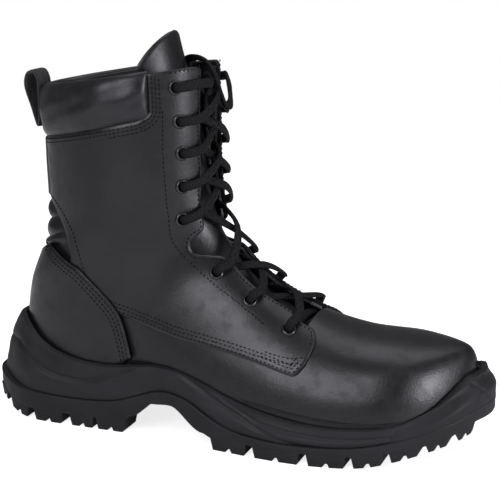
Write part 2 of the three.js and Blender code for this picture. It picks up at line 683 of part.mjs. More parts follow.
function outsole() {
  const slab = loft([
    soleRing(underside, () => 3),
    soleRing((x) => underside(x) + 2.5, () => 0.6),
    soleRing((x) => split(x) - LAYER_GAP / 2, () => 0.6),
  ]);
  const lugs = [];
  for (const { from, to, taper } of LUG_ROWS) {
    const [x0, x1] = [from * gradeX, to * gradeX];
    for (const side of [-1, 1]) {
      const reachOut = Math.min(soleHalf(x0, side), soleHalf(x1, side)) - 2.2;
      lugs.push(lug(x0, x1, side * reachOut, side * Math.max(reachOut - LUG_LENGTH, LUG_GAP / 2 + 8), taper));
    }
    const middle = Math.min(soleHalf(x0, -1), soleHalf(x1, 1)) - LUG_LENGTH - LUG_GAP - 2;
    if (middle > NARROWEST_LUG) lugs.push(lug(x0 + 2, x1 - 2, -middle, middle, taper));
  }
  return join(slab, [...lugs, toeGuard()]);
}

// The rubber that comes up round the toe, with its lower edge in the outsole.
function toeGuard() {
  const count = 20;
  const reachRound = 0.1;
  const rings = [];
  for (let k = 0; k <= count; k += 1) {
    const t = (mix(-reachRound, reachRound, k / count) + 1) % 1;
    const [edgeX] = edgeOfSole(t);
    const top = Math.max(rim(edgeX), split(edgeX) + 2);
    const low = split(edgeX) - 2;
    const here = guard(edgeX);
    const wall = Math.max(here * GUARD_WALL, 0.9);
    const ring = [
      [low, 0.7], [mix(low, top, 0.45), 0], [mix(low, top, 0.75), here * guardLean(0.75)],
      [top, here * guardLean(1)],
      [top, here * guardLean(1) + wall], [mix(low, top, 0.75), here * guardLean(0.75) + wall],
      [mix(low, top, 0.45), wall], [low, wall + 0.4],
    ].map(([z, inset]) => {
      const { x, y, inward, distance } = reach(t, z);
      const d = Math.min(inset, distance - upperOutside(x) - 1.2);
      return new THREE.Vector3(x + inward[0] * d, y + inward[1] * d, z);
    });
    rings.push(ring);
  }
  const size = rings[0].length;
  const triangles = [];
  for (let i = 0; i < count; i += 1) {
    for (let j = 0; j < size; j += 1) {
      const [a, b] = [i * size + j, i * size + ((j + 1) % size)];
      triangles.push(a, b, b + size, a, b + size, a + size);
    }
  }
  const end = count * size;
  for (let j = 1; j + 1 < size; j += 1) triangles.push(0, j + 1, j, end, end + j, end + j + 1);
  return outwards(solid(rings.flat().flatMap((p) => p.toArray()), triangles));
}

// ---- Eyelets, lace and pull loop --------------------------------------------------------------------

function eyelet(index, side) {
  const [bore, barrel, flange] = [EYELET_BORE / 2, EYELET_BARREL / 2, EYELET_FLANGE / 2];
  const profile = [
    [bore, barrelInner], [barrel, barrelInner], [barrel, LAYER_GAP], [flange, LAYER_GAP],
    [flange - 1, FLANGE_THICKNESS + LAYER_GAP], [bore, FLANGE_THICKNESS + LAYER_GAP], [bore, barrelInner],
  ].map(([r, z]) => new THREE.Vector2(r, z));
  return standAt(new THREE.LatheGeometry(profile, 10), index, side);
}

// A curve that gives its own points at equal steps, so that a sweep along it turns only at them.
class Route extends THREE.CatmullRomCurve3 {
  getPointAt(t) {
    return this.getPoint(t);
  }

  getTangentAt(t) {
    return this.getTangent(t);
  }
}

// From the bore of one eyelet, over its lacing edge, across the gap and under the other edge, up
// through the bore of the next eyelet. over says whether it passes over its twin at the middle.
function crossing(low, side, over) {
  const top = low - 1;
  const middle = laceAt(low, side, 0, 1).add(laceAt(top, -side, 0, 1)).multiplyScalar(0.5);
  const { s } = locate(middle.x, middle.z);
  const sunk = (laceInside + laceOutside) / 2 + 2 * LAYER_GAP;
  const apart = LACE / 2 + LAYER_GAP;
  return [
    laceAt(low, side, laceOutside, 0.8),
    skin(s, 0, over ? sunk + apart : sunk - apart),
    laceAt(top, -side, laceInside, 0.9),
    ...throughEyelet(top, -side),
  ];
}

// In from the lacing edge behind the eyelet, out through its bore and forward again.
const throughEyelet = (index, side) => [
  laceAt(index, side, laceInside, 0.26),
  laceAt(index, side, barrelInner + 0.1, 0.01),
  laceAt(index, side, FLANGE_THICKNESS + LAYER_GAP + 0.4, 0.01),
  laceAt(index, side, laceOutside + 0.5, 0.22),
];

// One half of the lace, from the middle of its lowest run up to the outside of a top eyelet.
function halfLace(side) {
  const last = EYELETS.length - 1;
  const start = skin(eyeletPlaces[last].s, side * 0.03, laceInside);
  const points = [start, laceAt(last, side, laceInside, 0.9), ...throughEyelet(last, side)];
  for (let i = last; i > 0; i -= 1) points.push(...crossing(i, (last - i) % 2 ? -side : side, side < 0));
  return [...points, laceAt(0, last % 2 ? -side : side, laceOutside, 0.8)];
}

const graded = ([x, y, z]) => new THREE.Vector3(x * gradeX, y * gradeY, z * gradeZ);

// The free ends, tucked away: one down behind the crossings, the other round the tongue's edge.
const OUTER_END = [[-9.5, -9, 203.5], [-13.5, -5, 199.5], [-16, -1.5, 192], [-15.6, -0.5, 178]].map(graded);
const INNER_END = [
  [-4.5, 13, 199], [-2, 9, 190], [-2.5, 3.5, 192], [-6, 3, 202], [-12, 7, 212], [-21, 14, 219],
  [-31, 20, 221], [-39, 25, 218], [-44, 27.5, 210], [-46, 27, 200], [-46, 26, 192],
].map(graded);

function laceRoute() {
  // The half that starts on the inner side ends on the outer side, as there are eight rows.
  const endsOutside = halfLace(1);
  const endsInside = halfLace(-1);
  return [...OUTER_END.slice().reverse(), ...endsOutside.reverse(), ...endsInside, ...INNER_END];
}

function lace() {
  const points = laceRoute();
  const outline = new THREE.Shape();
  const sides = 8;
  for (let k = 0; k < sides; k += 1) {
    const angle = (2 * Math.PI * k) / sides;
    const [x, y] = [Math.cos(angle) * LACE / 2, Math.sin(angle) * LACE / 2];
    if (k === 0) outline.moveTo(x, y);
    else outline.lineTo(x, y);
  }
  const extrudePath = new Route(points);
  return new THREE.ExtrudeGeometry(outline, { steps: points.length - 1, extrudePath });
}

// A metal tip on each end of the lace.
function aglet(end, before) {
  const direction = end.clone().sub(before).normalize();
  const [radius, length] = [LACE / 2 - 0.1, 22];
  const turn = new THREE.Quaternion().setFromUnitVectors(new THREE.Vector3(0, 1, 0), direction);
  const place = end.clone().addScaledVector(direction, length / 2 + LAYER_GAP);
  const geometry = new THREE.CylinderGeometry(radius, radius, length, 10).applyQuaternion(turn);
  return geometry.translate(place.x, place.y, place.z);
}

// A webbing loop sewn to the back of the collar and folded at its top. Its centre line, from the side.
const LOOP_ROOT = [-120.6, 174];
const LOOP_LINE = [
  LOOP_ROOT, [-124.5, 185], [-128.4, 197], [-127.2, 204.3], [-122.8, 205.6], [-120, 200], [-119.7, 188],
];
const LOOP_SEWN = 184;            // below this height its two runs are stitched together

function pullLoop() {
  const points = LOOP_LINE.map(([x, z]) => new THREE.Vector3(x * gradeX, z * gradeZ, 0));
  const line = new THREE.CatmullRomCurve3(points, true);
  const count = 26;
  const ring = (offset) => Array.from({ length: count }, (_, k) => {
    const [place, ahead] = [line.getPoint(k / count), line.getTangent(k / count)];
    return new THREE.Vector2(place.x - ahead.y * offset, place.y + ahead.x * offset);
  });
  const block = (outline, width) => {
    const shape = new THREE.Shape(outline);
    const geometry = new THREE.ExtrudeGeometry(shape, { depth: width, bevelEnabled: false });
    geometry.rotateX(Math.PI / 2);
    return geometry.translate(0, width / 2, 0);
  };
  const slit = ring(-WEBBING / 2).filter((p) => p.y > LOOP_SEWN * gradeZ);
  return cut(block(ring(WEBBING / 2), WEBBING_WIDTH), [block(slit, 1.2 * WEBBING_WIDTH)]);
}

const boots = new THREE.Group();
function add(name, geometry, material) {
  const mesh = new THREE.Mesh(geometry, material);
  mesh.name = name;
  boots.add(mesh);
  return mesh;
}
const paint = (color, roughness, metalness = 0) => (
  new THREE.MeshStandardMaterial({ color, roughness, metalness })
);

const leather = paint(0x2b2b2e, 0.45);
const softLeather = paint(0x303034, 0.5);
const rubber = paint(0x1d1d1f, 0.85);
const foam = paint(0x232326, 0.8);
const cloth = paint(0x202022, 0.95);
const board = paint(0x8a7a5c, 0.9);
const steel = paint(0x9a9c9e, 0.35, 1);
const enamel = paint(0x1a1a1c, 0.25, 0.6);

add('outsole', outsole(), rubber);
add('midsole', midsole(), foam);
add('puncture_plate', plateAt((x) => featherHeight(x) - PLATE - 2 * LAYER_GAP + 0.1, PLATE, 3), steel);
add('insole_board', plateAt((x) => featherHeight(x) + LAYER_GAP, INSOLE_BOARD, -liningInner + 1.2), board);
const boardTop = (x) => featherHeight(x) + 2 * LAYER_GAP + INSOLE_BOARD;
add('footbed', plateAt(boardTop, FOOTBED, -liningInner + 2.6), foam);
add('toe_cap', toeCap(), steel);
add('heel_stiffener', heelStiffener(), board);
add('vamp', vamp(), leather);
add('vamp_lining', vampLining(), cloth);
add('shaft_lining', shaftLining(), cloth);
add('ankle_padding', anklePadding(), foam);
for (const [side, name] of [[-1, 'outer'], [1, 'inner']]) {
  add(`quarter_${name}`, quarter(side), leather);
  add(`facing_stay_${name}`, facingStay(side), leather);
  EYELETS.forEach((_, i) => add(`eyelet_${name}_${i + 1}`, eyelet(i, side), enamel));
}
add('heel_pocket', heelPocket(), leather);
add('achilles_pad', achillesPad(), softLeather);
add('back_strip', backStrip(), leather);
add('collar', collar(), softLeather);
add('tongue', tongue(), softLeather);
add('tongue_tip', tongueTip(), softLeather);
add('pull_loop', pullLoop(), cloth);
add('lace', lace(), cloth);
for (const [name, route] of [['outer', laceRoute()], ['inner', laceRoute().reverse()]]) {
  add(`aglet_${name}`, aglet(route[0], route[1]), steel);
}

// The origin is under the middle of the boot, on the ground.
const box = new THREE.Box3().setFromObject(boots);
boots.position.set(-(box.min.x + box.max.x) / 2, -(box.min.y + box.max.y) / 2, -box.min.z);

export default boots;
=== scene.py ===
# %% [markdown]
# # A lace-up safety boot
# The boot is lapped leather on a moulded sole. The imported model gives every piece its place, so this
# script only makes surfaces: it loads that model, sets up a small studio, and then makes the boot piece
# by piece, from the sole up.

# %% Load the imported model
import math

import bmesh
import bpy
import numpy as np
from mathutils import Matrix, Vector, geometry, kdtree


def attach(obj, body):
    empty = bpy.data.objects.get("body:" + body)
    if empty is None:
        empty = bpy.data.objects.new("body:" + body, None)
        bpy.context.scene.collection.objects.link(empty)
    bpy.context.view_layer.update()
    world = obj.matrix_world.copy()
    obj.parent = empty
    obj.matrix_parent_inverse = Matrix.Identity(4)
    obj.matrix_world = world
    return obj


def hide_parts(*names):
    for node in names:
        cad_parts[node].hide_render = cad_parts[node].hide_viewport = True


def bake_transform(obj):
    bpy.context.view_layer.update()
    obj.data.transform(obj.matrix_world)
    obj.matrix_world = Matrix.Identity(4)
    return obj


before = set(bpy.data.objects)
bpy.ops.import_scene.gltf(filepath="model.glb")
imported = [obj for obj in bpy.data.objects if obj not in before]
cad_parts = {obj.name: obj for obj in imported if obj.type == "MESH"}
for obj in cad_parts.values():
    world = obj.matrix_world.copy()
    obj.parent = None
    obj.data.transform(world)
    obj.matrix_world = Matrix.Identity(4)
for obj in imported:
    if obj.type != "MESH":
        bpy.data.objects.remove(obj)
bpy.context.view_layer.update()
scene = bpy.context.scene
MM = 0.001
BOOT = "boot"

# %% [markdown]
# ## The studio
# A black boot is lit by large soft lights, because black leather shows little but their reflections.
# The long lens keeps the shape of the boot true. The floor and the world are white to the camera, but
# they light the boot only a little, so that the leather stays black.

# %% Camera
AZIMUTH = math.radians(19.7)
ELEVATION = math.radians(13.4)
DISTANCE = 0.85
AIM = Vector((0.0103, -0.0002, 0.1065))
SENSOR = 36.0
FOCAL = 105.3

away = Vector((
    math.sin(AZIMUTH) * math.cos(ELEVATION),
    -math.cos(AZIMUTH) * math.cos(ELEVATION),
    math.sin(ELEVATION),
))
camera_data = bpy.data.cameras.new("camera")
camera_data.lens = FOCAL
camera_data.sensor_width = SENSOR
camera = bpy.data.objects.new("camera", camera_data)
camera.location = AIM + away * DISTANCE
camera.rotation_euler = away.to_track_quat("Z", "Y").to_euler()
scene.collection.objects.link(camera)
scene.camera = camera
print("camera at", [round(value, 3) for value in camera.location])


# %% Helpers for the studio
LAMP_COLOR = (0.93, 0.93, 1.0)
BOOT_MIDDLE = Vector((0, 0, 0.1))


def plain_material(name, color, roughness):
    material = bpy.data.materials.new(name)
    material.use_nodes = True
    shader = material.node_tree.nodes["Principled BSDF"]
    shader.inputs["Base Color"].default_value = (*color, 1)
    shader.inputs["Roughness"].default_value = roughness
    return material


def bright_to_camera(tree, target, light_given, brightness_seen):
    """Gives target one strength for the camera and a lower one for the light that falls on the boot."""
    ray = tree.nodes.new("ShaderNodeLightPath")
    strength = tree.nodes.new("ShaderNodeMapRange")
    strength.inputs["To Min"].default_value = light_given
    strength.inputs["To Max"].default_value = brightness_seen
    tree.links.new(ray.outputs["Is Camera Ray"], strength.inputs["Value"])
    tree.links.new(strength.outputs["Result"], target)


def area_light(name, place, size, power):
    data = bpy.data.lights.new(name, "AREA")
    data.shape = "RECTANGLE"
    data.size, data.size_y = size
    data.energy = power
    data.color = LAMP_COLOR
    lamp = bpy.data.objects.new(name, data)
    lamp.location = place
    from_boot = Vector(place) - BOOT_MIDDLE
    lamp.rotation_euler = from_boot.to_track_quat("Z", "Y").to_euler()
    scene.collection.objects.link(lamp)


# %% Floor, world and lights
floor_mesh = bmesh.new()
bmesh.ops.create_grid(floor_mesh, x_segments=2, y_segments=2, size=1.1)
floor_data = bpy.data.meshes.new("floor")
floor_mesh.to_mesh(floor_data)
floor_mesh.free()
floor = bpy.data.objects.new("floor", floor_data)
pale = plain_material("pale floor", (0.93, 0.93, 0.93), 0.9)
glow = pale.node_tree.nodes["Principled BSDF"].inputs
glow["Emission Color"].default_value = (1, 1, 1, 1)
bright_to_camera(pale.node_tree, glow["Emission Strength"], 0.06, 0.8)
floor.data.materials.append(pale)
scene.collection.objects.link(floor)

world = bpy.data.worlds.new("white room")
world.use_nodes = True
sky = world.node_tree.nodes["Background"].inputs
sky["Color"].default_value = (1, 1, 1, 1)
bright_to_camera(world.node_tree, sky["Strength"], 0.13, 1.0)
scene.world = world
scene.view_settings.view_transform = "Standard"
area_light("key", (-0.2, -1.1, 0.8), (0.5, 0.9), 8)
area_light("front", (1.25, -0.38, 0.4), (0.35, 0.55), 9)
area_light("top", (0.1, 0.3, 1.3), (1.4, 0.8), 6)
print("a floor, a world and three lights")

# %% [markdown]
# ## The last
# A shoemaker builds the upper round a last. Here the last is a smooth function: `outside(s, u)` gives
# a point of it. `s` runs in steps from the tip of the toe over the instep and up the shaft, and `u`
# runs round each section, from 0 on the front ridge to 1 (inner side) or -1 (outer side) at the sole
# or the back seam. Every leather panel is then a rectangle in `s` and `u`, which is how flat leather
# behaves when it is drawn over a last.

# %% The sections of the last, in millimetres: ridge x and z, far end x and z, half widths, middle
SECTIONS = np.array([
    (147, 49, 146, 26, 0, 0, 0, 0, 7),
    (140, 62, 138, 23, 12, 21, 25, 24, 6),
    (113, 67, 110, 18, 29, 43, 47, 46, 3),
    (81, 69.5, 72, 17, 30, 46, 51, 50, 0),
    (54, 77, 28, 22, 27, 43, 48, 46, -1),
    (34, 87, -25, 30, 26, 38, 40, 36, -3),
    (18, 100, -82, 31, 26, 36, 34, 31, -2),
    (8, 111, -112, 31, 27, 37, 31, 25, 0),
    (0, 124, -130, 38, 28, 38, 26, 0, 0),
    (-5, 138, -128, 76, 30, 40, 25, 0, 0),
    (-8.5, 156, -115.5, 112, 31, 42, 26, 0, 0),
    (-9, 182, -115, 156, 31, 43, 28, 0, 0),
    (-10, 215, -116, 198, 31, 44, 30, 0, 0),
], float)
HEEL = 8
TOP = len(SECTIONS) - 1
MIDDLE_SHIFT = np.array((-0.2, -0.243, 0))    # from the last's origin to the middle of the boot


def mix(a, b, share):
    return a + (b - a) * share


def ease(x, start, end):
    share = np.clip((x - start) / (end - start), 0, 1)
    return share * share * (3 - 2 * share)


def spline(p0, p1, p2, p3, f):
    bend = 2 * p0 - 5 * p1 + 4 * p2 - p3
    return 0.5 * (2 * p1 + (p2 - p0) * f + bend * f * f + (3 * p1 - p0 - 3 * p2 + p3) * f ** 3)


def section(s):
    mirror = SECTIONS[1] * np.array((1, 1, 1, 1, -1, -1, -1, -1, 1))
    rows = np.vstack([mirror, SECTIONS, 2 * SECTIONS[-1] - SECTIONS[-2]])
    i = np.clip(np.floor(s).astype(int), 0, TOP - 1)
    f = (s - i)[..., None]
    found = spline(rows[i], rows[i + 1], rows[i + 2], rows[i + 3], f)
    found[..., 7] = np.where(s > HEEL - 1, np.maximum(found[..., 7], 0), found[..., 7])
    return found


# %% Points of the last, and which way is out of it
def outside(s, u):
    s, u = np.broadcast_arrays(np.asarray(s, float), np.asarray(u, float))
    q = section(s)
    a, b, c, d = (q[..., k] for k in (4, 5, 6, 7))
    knots = np.stack([-a, 0 * a, a, b, c, d, 2 * d - c], -1)
    t = np.abs(u) * 4
    i = np.clip(np.floor(t).astype(int), 0, 3)
    near = [np.take_along_axis(knots, (i + k)[..., None], -1)[..., 0] for k in range(4)]
    across = spline(*near, t - i)
    along = (1 - np.cos(np.pi * u)) / 2
    y = q[..., 8] + np.where(u < 0, -across, across)
    return np.stack([mix(q[..., 0], q[..., 2], along), y, mix(q[..., 1], q[..., 3], along)], -1)


def normal(s, u, step=1e-3):
    s, u = np.broadcast_arrays(np.maximum(s, 0.03), np.asarray(u, float))
    along_s = outside(s + step, u) - outside(s - step, u)
    along_u = outside(s, u + step) - outside(s, u - step)
    n = np.cross(along_u, along_s)
    return n / np.linalg.norm(n, axis=-1, keepdims=True)


def skin(s, u, lift=0):
    """A point lift millimetres outside the last, in millimetres."""
    lift = np.asarray(lift, float)[..., None]
    return outside(s, u) + normal(s, u) * lift + MIDDLE_SHIFT


print("top of the last", skin(np.array(12.0), np.array(0.0)).round(1))


# %% From a side view back onto the last
def locate(x, z):
    """The s and u of points seen from the side."""
    x, z = np.broadcast_arrays(np.asarray(x, float), np.asarray(z, float))

    def side(s):
        q = section(s)
        return (q[..., 2] - q[..., 0]) * (z - q[..., 1]) - (q[..., 3] - q[..., 1]) * (x - q[..., 0])

    steps = np.arange(0, TOP + 0.75, 0.25)
    signs = np.stack([side(np.full(x.shape, step)) > 0 for step in steps], -1)
    changed = signs[..., 1:] != signs[..., :-1]
    first = np.where(changed.any(-1), changed.argmax(-1), len(steps) - 2)
    low, high = steps[first], steps[first] + 0.25
    below = side(low) > 0
    for _ in range(18):
        half = (low + high) / 2
        same = (side(half) > 0) == below
        low, high = np.where(same, half, low), np.where(same, high, half)
    q = section(low)
    dx, dz = q[..., 2] - q[..., 0], q[..., 3] - q[..., 1]
    along = ((x - q[..., 0]) * dx + (z - q[..., 1]) * dz) / (dx * dx + dz * dz)
    return low, np.arccos(1 - 2 * np.clip(along, 0, 1)) / np.pi


print("at the ankle, s and u are", [round(float(value), 2) for value in locate(-60, 100)])

# %% [markdown]
# ## Pattern lines
# A boot pattern is drawn from the side. Each line below is a short list of points in millimetres,
# joined by a smooth curve and carried onto the last. A line can be asked for its `u` at any `s`, which
# trims a panel, or it can be moved sideways over the leather, which is how a row of stitches keeps its
# distance from an edge.


# %% Lines on the last
def curve(points, per_span=6, closed=False):
    """A smooth curve through points, with per_span steps between each two."""
    p = np.array(points, float)
    if closed:
        rows = np.vstack([p[-1], p, p[0], p[1]])
    else:
        rows = np.vstack([2 * p[0] - p[1], p, 2 * p[-1] - p[-2]])
    spans = len(p) if closed else len(p) - 1
    f = np.arange(per_span)[:, None] / per_span
    found = [spline(rows[i], rows[i + 1], rows[i + 2], rows[i + 3], f) for i in range(spans)]
    return np.vstack(found if closed else [*found, p[-1:]])


def line(points, per_span=6):
    x, z = curve(points, per_span).T
    return locate(x, z)


def trace(points, per_span=8):
    s, u = line(points, per_span)
    order = np.argsort(s)
    return lambda at: np.interp(at, s[order], u[order])


# %% The boot's own lines, and where its parts begin and end
FACING_EDGE = [
    (-13, 215), (-13, 178), (-12, 138), (-10, 122), (-15, 117), (-16, 112), (-13, 108), (-5, 107),
    (3, 105), (16, 94), (28, 86), (45, 77), (50, 73), (57, 70), (60, 66), (60, 63),
]
QUARTER_LOW_EDGE = [
    (57, 54), (52, 48.5), (45, 49), (33, 52), (14, 56), (-5, 59), (-24, 62), (-57, 71), (-66, 74),
]
COUNTER_EDGE = [
    (-108, 105), (-105, 106), (-88, 99), (-81, 96), (-68, 85), (-57, 72), (-51, 56), (-48, 43), (-46, 34),
]
ACHILLES_EDGE = [(-110, 133), (-100, 129), (-87, 115), (-80, 96), (-76, 88)]
EYELETS = [(-23, 203), (-21, 184), (-20, 166), (-20, 147), (-20, 128), (-1, 98), (20, 84), (44, 70)]
COLLAR_BOTTOM = 11.3
COLLAR_FRONT = 0.33
COLLAR_CORNER = (0.13, 0.06)      # the s and the u that its round corner takes up
QUARTER_FRONT = 3.62
LOW_EDGE_END = 7.28               # where the quarter's low edge runs under the heel pocket
QUARTER_BACK = 0.93
PAD_TOP = 10.45
POCKET_TOP = 9.66
THROAT = 3.98
VAMP_WING = 0.43

facing_edge = trace(FACING_EDGE)
low_edge = trace(QUARTER_LOW_EDGE)
counter_edge = trace(COUNTER_EDGE)
achilles_edge = trace(ACHILLES_EDGE)
eyelet_s, eyelet_u = locate(*np.array(EYELETS, float).T)
print("eyelets at s", eyelet_s.round(2))


# %% Moving a line over the leather
def moved(path, distance):
    """A line on the last, moved sideways over it by distance millimetres."""
    s, u = path
    steps = max(1, round(abs(distance) / 2))
    for _ in range(steps):
        along = np.gradient(outside(s, u), axis=0)
        along /= np.linalg.norm(along, axis=-1, keepdims=True)
        go = np.cross(normal(s, u), along) * distance / steps
        h = 1e-3
        by_s = (outside(s + h, u) - outside(s - h, u)) / (2 * h)
        by_u = (outside(s, u + h) - outside(s, u - h)) / (2 * h)
        ss, su, uu = (by_s * by_s).sum(-1), (by_s * by_u).sum(-1), (by_u * by_u).sum(-1)
        gs, gu = (by_s * go).sum(-1), (by_u * go).sum(-1)
        area = ss * uu - su * su
        s, u = s + (gs * uu - gu * su) / area, u + (gu * ss - gs * su) / area
    return s, u


print("facing edge moved in by 2 mm:", len(moved(line(FACING_EDGE), 2)[0]), "points")

# %% Layers, from the outside inwards, as distances from the last's outside
LEATHER = 1.7
VAMP_LEATHER = 2.1
POCKET_LEATHER = 1.5
GAP = 0.4
POCKET_OUT = GAP + POCKET_LEATHER
VAMP_OUT = -LEATHER - GAP
STIFF_OUT = VAMP_OUT - VAMP_LEATHER - GAP
LINING_OUT = STIFF_OUT - 1.9 - GAP
STAY_IN = -LEATHER - 1.3 * GAP - LEATHER
BARREL_IN = STAY_IN - 0.9
LACE_CORE = 3
LACE_INSIDE = BARREL_IN - 0.9 - LACE_CORE / 2
FLANGE = 1
LACE_OUTSIDE = FLANGE + 1.2 + LACE_CORE / 2
TONGUE_OUT = LACE_INSIDE - LACE_CORE / 2 - GAP - 0.2
print("the tongue lies", round(-TONGUE_OUT, 1), "mm under the outside")

# %% [markdown]
# ## Finishes
# Black materials need care: they differ only in gloss, grain and the way their edges wear. The parts
# that several materials share are node groups: `leather skin` (pebbled grain, a slow change of tone
# and polished edges), `moulded skin` (fine mould texture) and `weave` (crossing threads that follow
# the piece's own UV map).


# %% Node helpers
def node_group(name, inputs, outputs):
    tree = bpy.data.node_groups.new(name, "ShaderNodeTree")
    for label, value in inputs:
        tree.interface.new_socket(label, in_out="INPUT", socket_type="NodeSocketFloat").default_value = value
    for label in outputs:
        tree.interface.new_socket(label, in_out="OUTPUT", socket_type="NodeSocketFloat")
    return tree, tree.nodes.new("NodeGroupInput"), tree.nodes.new("NodeGroupOutput")


def add_node(tree, kind, settings=(), **values):
    node = tree.nodes.new(kind)
    for key, value in dict(settings).items():
        setattr(node, key, value)
    for label, value in values.items():
        node.inputs[label.replace("_", " ")].default_value = value
    return node


def calculate(tree, operation, a, b=0.0):
    node = tree.nodes.new("ShaderNodeMath")
    node.operation = operation
    for socket, value in zip(node.inputs, (a, b)):
        if isinstance(value, (int, float)):
            socket.default_value = value
        else:
            tree.links.new(value, socket)
    return node.outputs[0]


def remap(tree, value, low, high, to_low, to_high):
    node = add_node(tree, "ShaderNodeMapRange", {"interpolation_type": "SMOOTHSTEP"})
    for label, number in zip(("From Min", "From Max", "To Min", "To Max"), (low, high, to_low, to_high)):
        node.inputs[label].default_value = number
    tree.links.new(value, node.inputs["Value"])
    return node.outputs["Result"]


# %% Leather skin: grain, tone and worn edges
leather_skin, leather_in, leather_out = node_group(
    "leather skin", [("Grain", 900.0), ("Depth", 1.0), ("Edges", 1.0)], ["Tone", "Roughness", "Height"]
)
place = leather_skin.nodes.new("ShaderNodeTexCoord").outputs["Object"]
grain = add_node(leather_skin, "ShaderNodeTexVoronoi", {"feature": "SMOOTH_F1"})
pores = add_node(leather_skin, "ShaderNodeTexNoise", Detail=4.0, Scale=2600.0)
clouds = add_node(leather_skin, "ShaderNodeTexNoise", Detail=3.0, Scale=38.0)
scuffs = add_node(leather_skin, "ShaderNodeTexNoise", Detail=6.0, Scale=160.0)
creases = add_node(leather_skin, "ShaderNodeTexNoise", Detail=5.0, Scale=90.0, Distortion=1.4)
for texture in (grain, pores, clouds, scuffs, creases):
    leather_skin.links.new(place, texture.inputs["Vector"])
leather_skin.links.new(leather_in.outputs["Grain"], grain.inputs["Scale"])
edge = add_node(leather_skin, "ShaderNodeAttribute", {"attribute_name": "edge"}).outputs["Fac"]
near_edge = remap(leather_skin, edge, 0.1, 1.6, 1.0, 0.0)
worn = calculate(leather_skin, "MULTIPLY", near_edge, leather_in.outputs["Edges"])
patches = remap(leather_skin, scuffs.outputs[0], 0.35, 0.65, 0.3, 1.0)
rubbed = calculate(leather_skin, "MULTIPLY", worn, patches)
tone = calculate(leather_skin, "ADD", remap(leather_skin, clouds.outputs[0], 0.3, 0.7, 0.0, 0.35), rubbed)
leather_skin.links.new(tone, leather_out.inputs["Tone"])
polish = remap(leather_skin, clouds.outputs[0], 0.25, 0.75, 0.4, 0.3)
dull = remap(leather_skin, scuffs.outputs[0], 0.45, 0.75, 0.0, 0.14)
leather_skin.links.new(calculate(leather_skin, "ADD", polish, dull), leather_out.inputs["Roughness"])
fine = calculate(leather_skin, "MULTIPLY", grain.outputs["Distance"], 0.55)
fine = calculate(leather_skin, "ADD", fine, calculate(leather_skin, "MULTIPLY", pores.outputs[0], 0.3))
fine = calculate(leather_skin, "ADD", fine, calculate(leather_skin, "MULTIPLY", creases.outputs[0], 0.8))
fine = calculate(leather_skin, "MULTIPLY", fine, leather_in.outputs["Depth"])
leather_skin.links.new(fine, leather_out.inputs["Height"])

# %% Moulded skin, for rubber and polyurethane
moulded_skin, moulded_in, moulded_out = node_group(
    "moulded skin", [("Size", 1400.0), ("Depth", 1.0)], ["Tone", "Roughness", "Height"]
)
place = moulded_skin.nodes.new("ShaderNodeTexCoord").outputs["Object"]
sparks = add_node(moulded_skin, "ShaderNodeTexNoise", Detail=3.0)
dust = add_node(moulded_skin, "ShaderNodeTexNoise", Detail=5.0, Scale=55.0)
for texture in (sparks, dust):
    moulded_skin.links.new(place, texture.inputs["Vector"])
moulded_skin.links.new(moulded_in.outputs["Size"], sparks.inputs["Scale"])
dusty = remap(moulded_skin, dust.outputs[0], 0.3, 0.75, 0.0, 1.0)
matt = remap(moulded_skin, dust.outputs[0], 0.3, 0.7, 0.5, 0.68)
moulded_skin.links.new(dusty, moulded_out.inputs["Tone"])
moulded_skin.links.new(matt, moulded_out.inputs["Roughness"])
bumps = calculate(moulded_skin, "MULTIPLY", sparks.outputs[0], moulded_in.outputs["Depth"])
moulded_skin.links.new(bumps, moulded_out.inputs["Height"])

# %% Weave, for laces, webbing, thread and lining
weave, weave_in, weave_out = node_group("weave", [("Across", 6.0), ("Along", 400.0)], ["Tone", "Height"])
flat = add_node(weave, "ShaderNodeSeparateXYZ")
weave.links.new(weave.nodes.new("ShaderNodeTexCoord").outputs["UV"], flat.inputs[0])
turns = calculate(weave, "MULTIPLY", flat.outputs["X"], weave_in.outputs["Across"])
runs = calculate(weave, "MULTIPLY", flat.outputs["Y"], weave_in.outputs["Along"])
one = calculate(weave, "SINE", calculate(weave, "ADD", runs, turns))
other = calculate(weave, "SINE", calculate(weave, "SUBTRACT", runs, turns))
threads = calculate(weave, "MAXIMUM", calculate(weave, "ABSOLUTE", one), calculate(weave, "ABSOLUTE", other))
weave.links.new(threads, weave_out.inputs["Height"])
weave.links.new(remap(weave, threads, 0.5, 1.0, 0.0, 1.0), weave_out.inputs["Tone"])


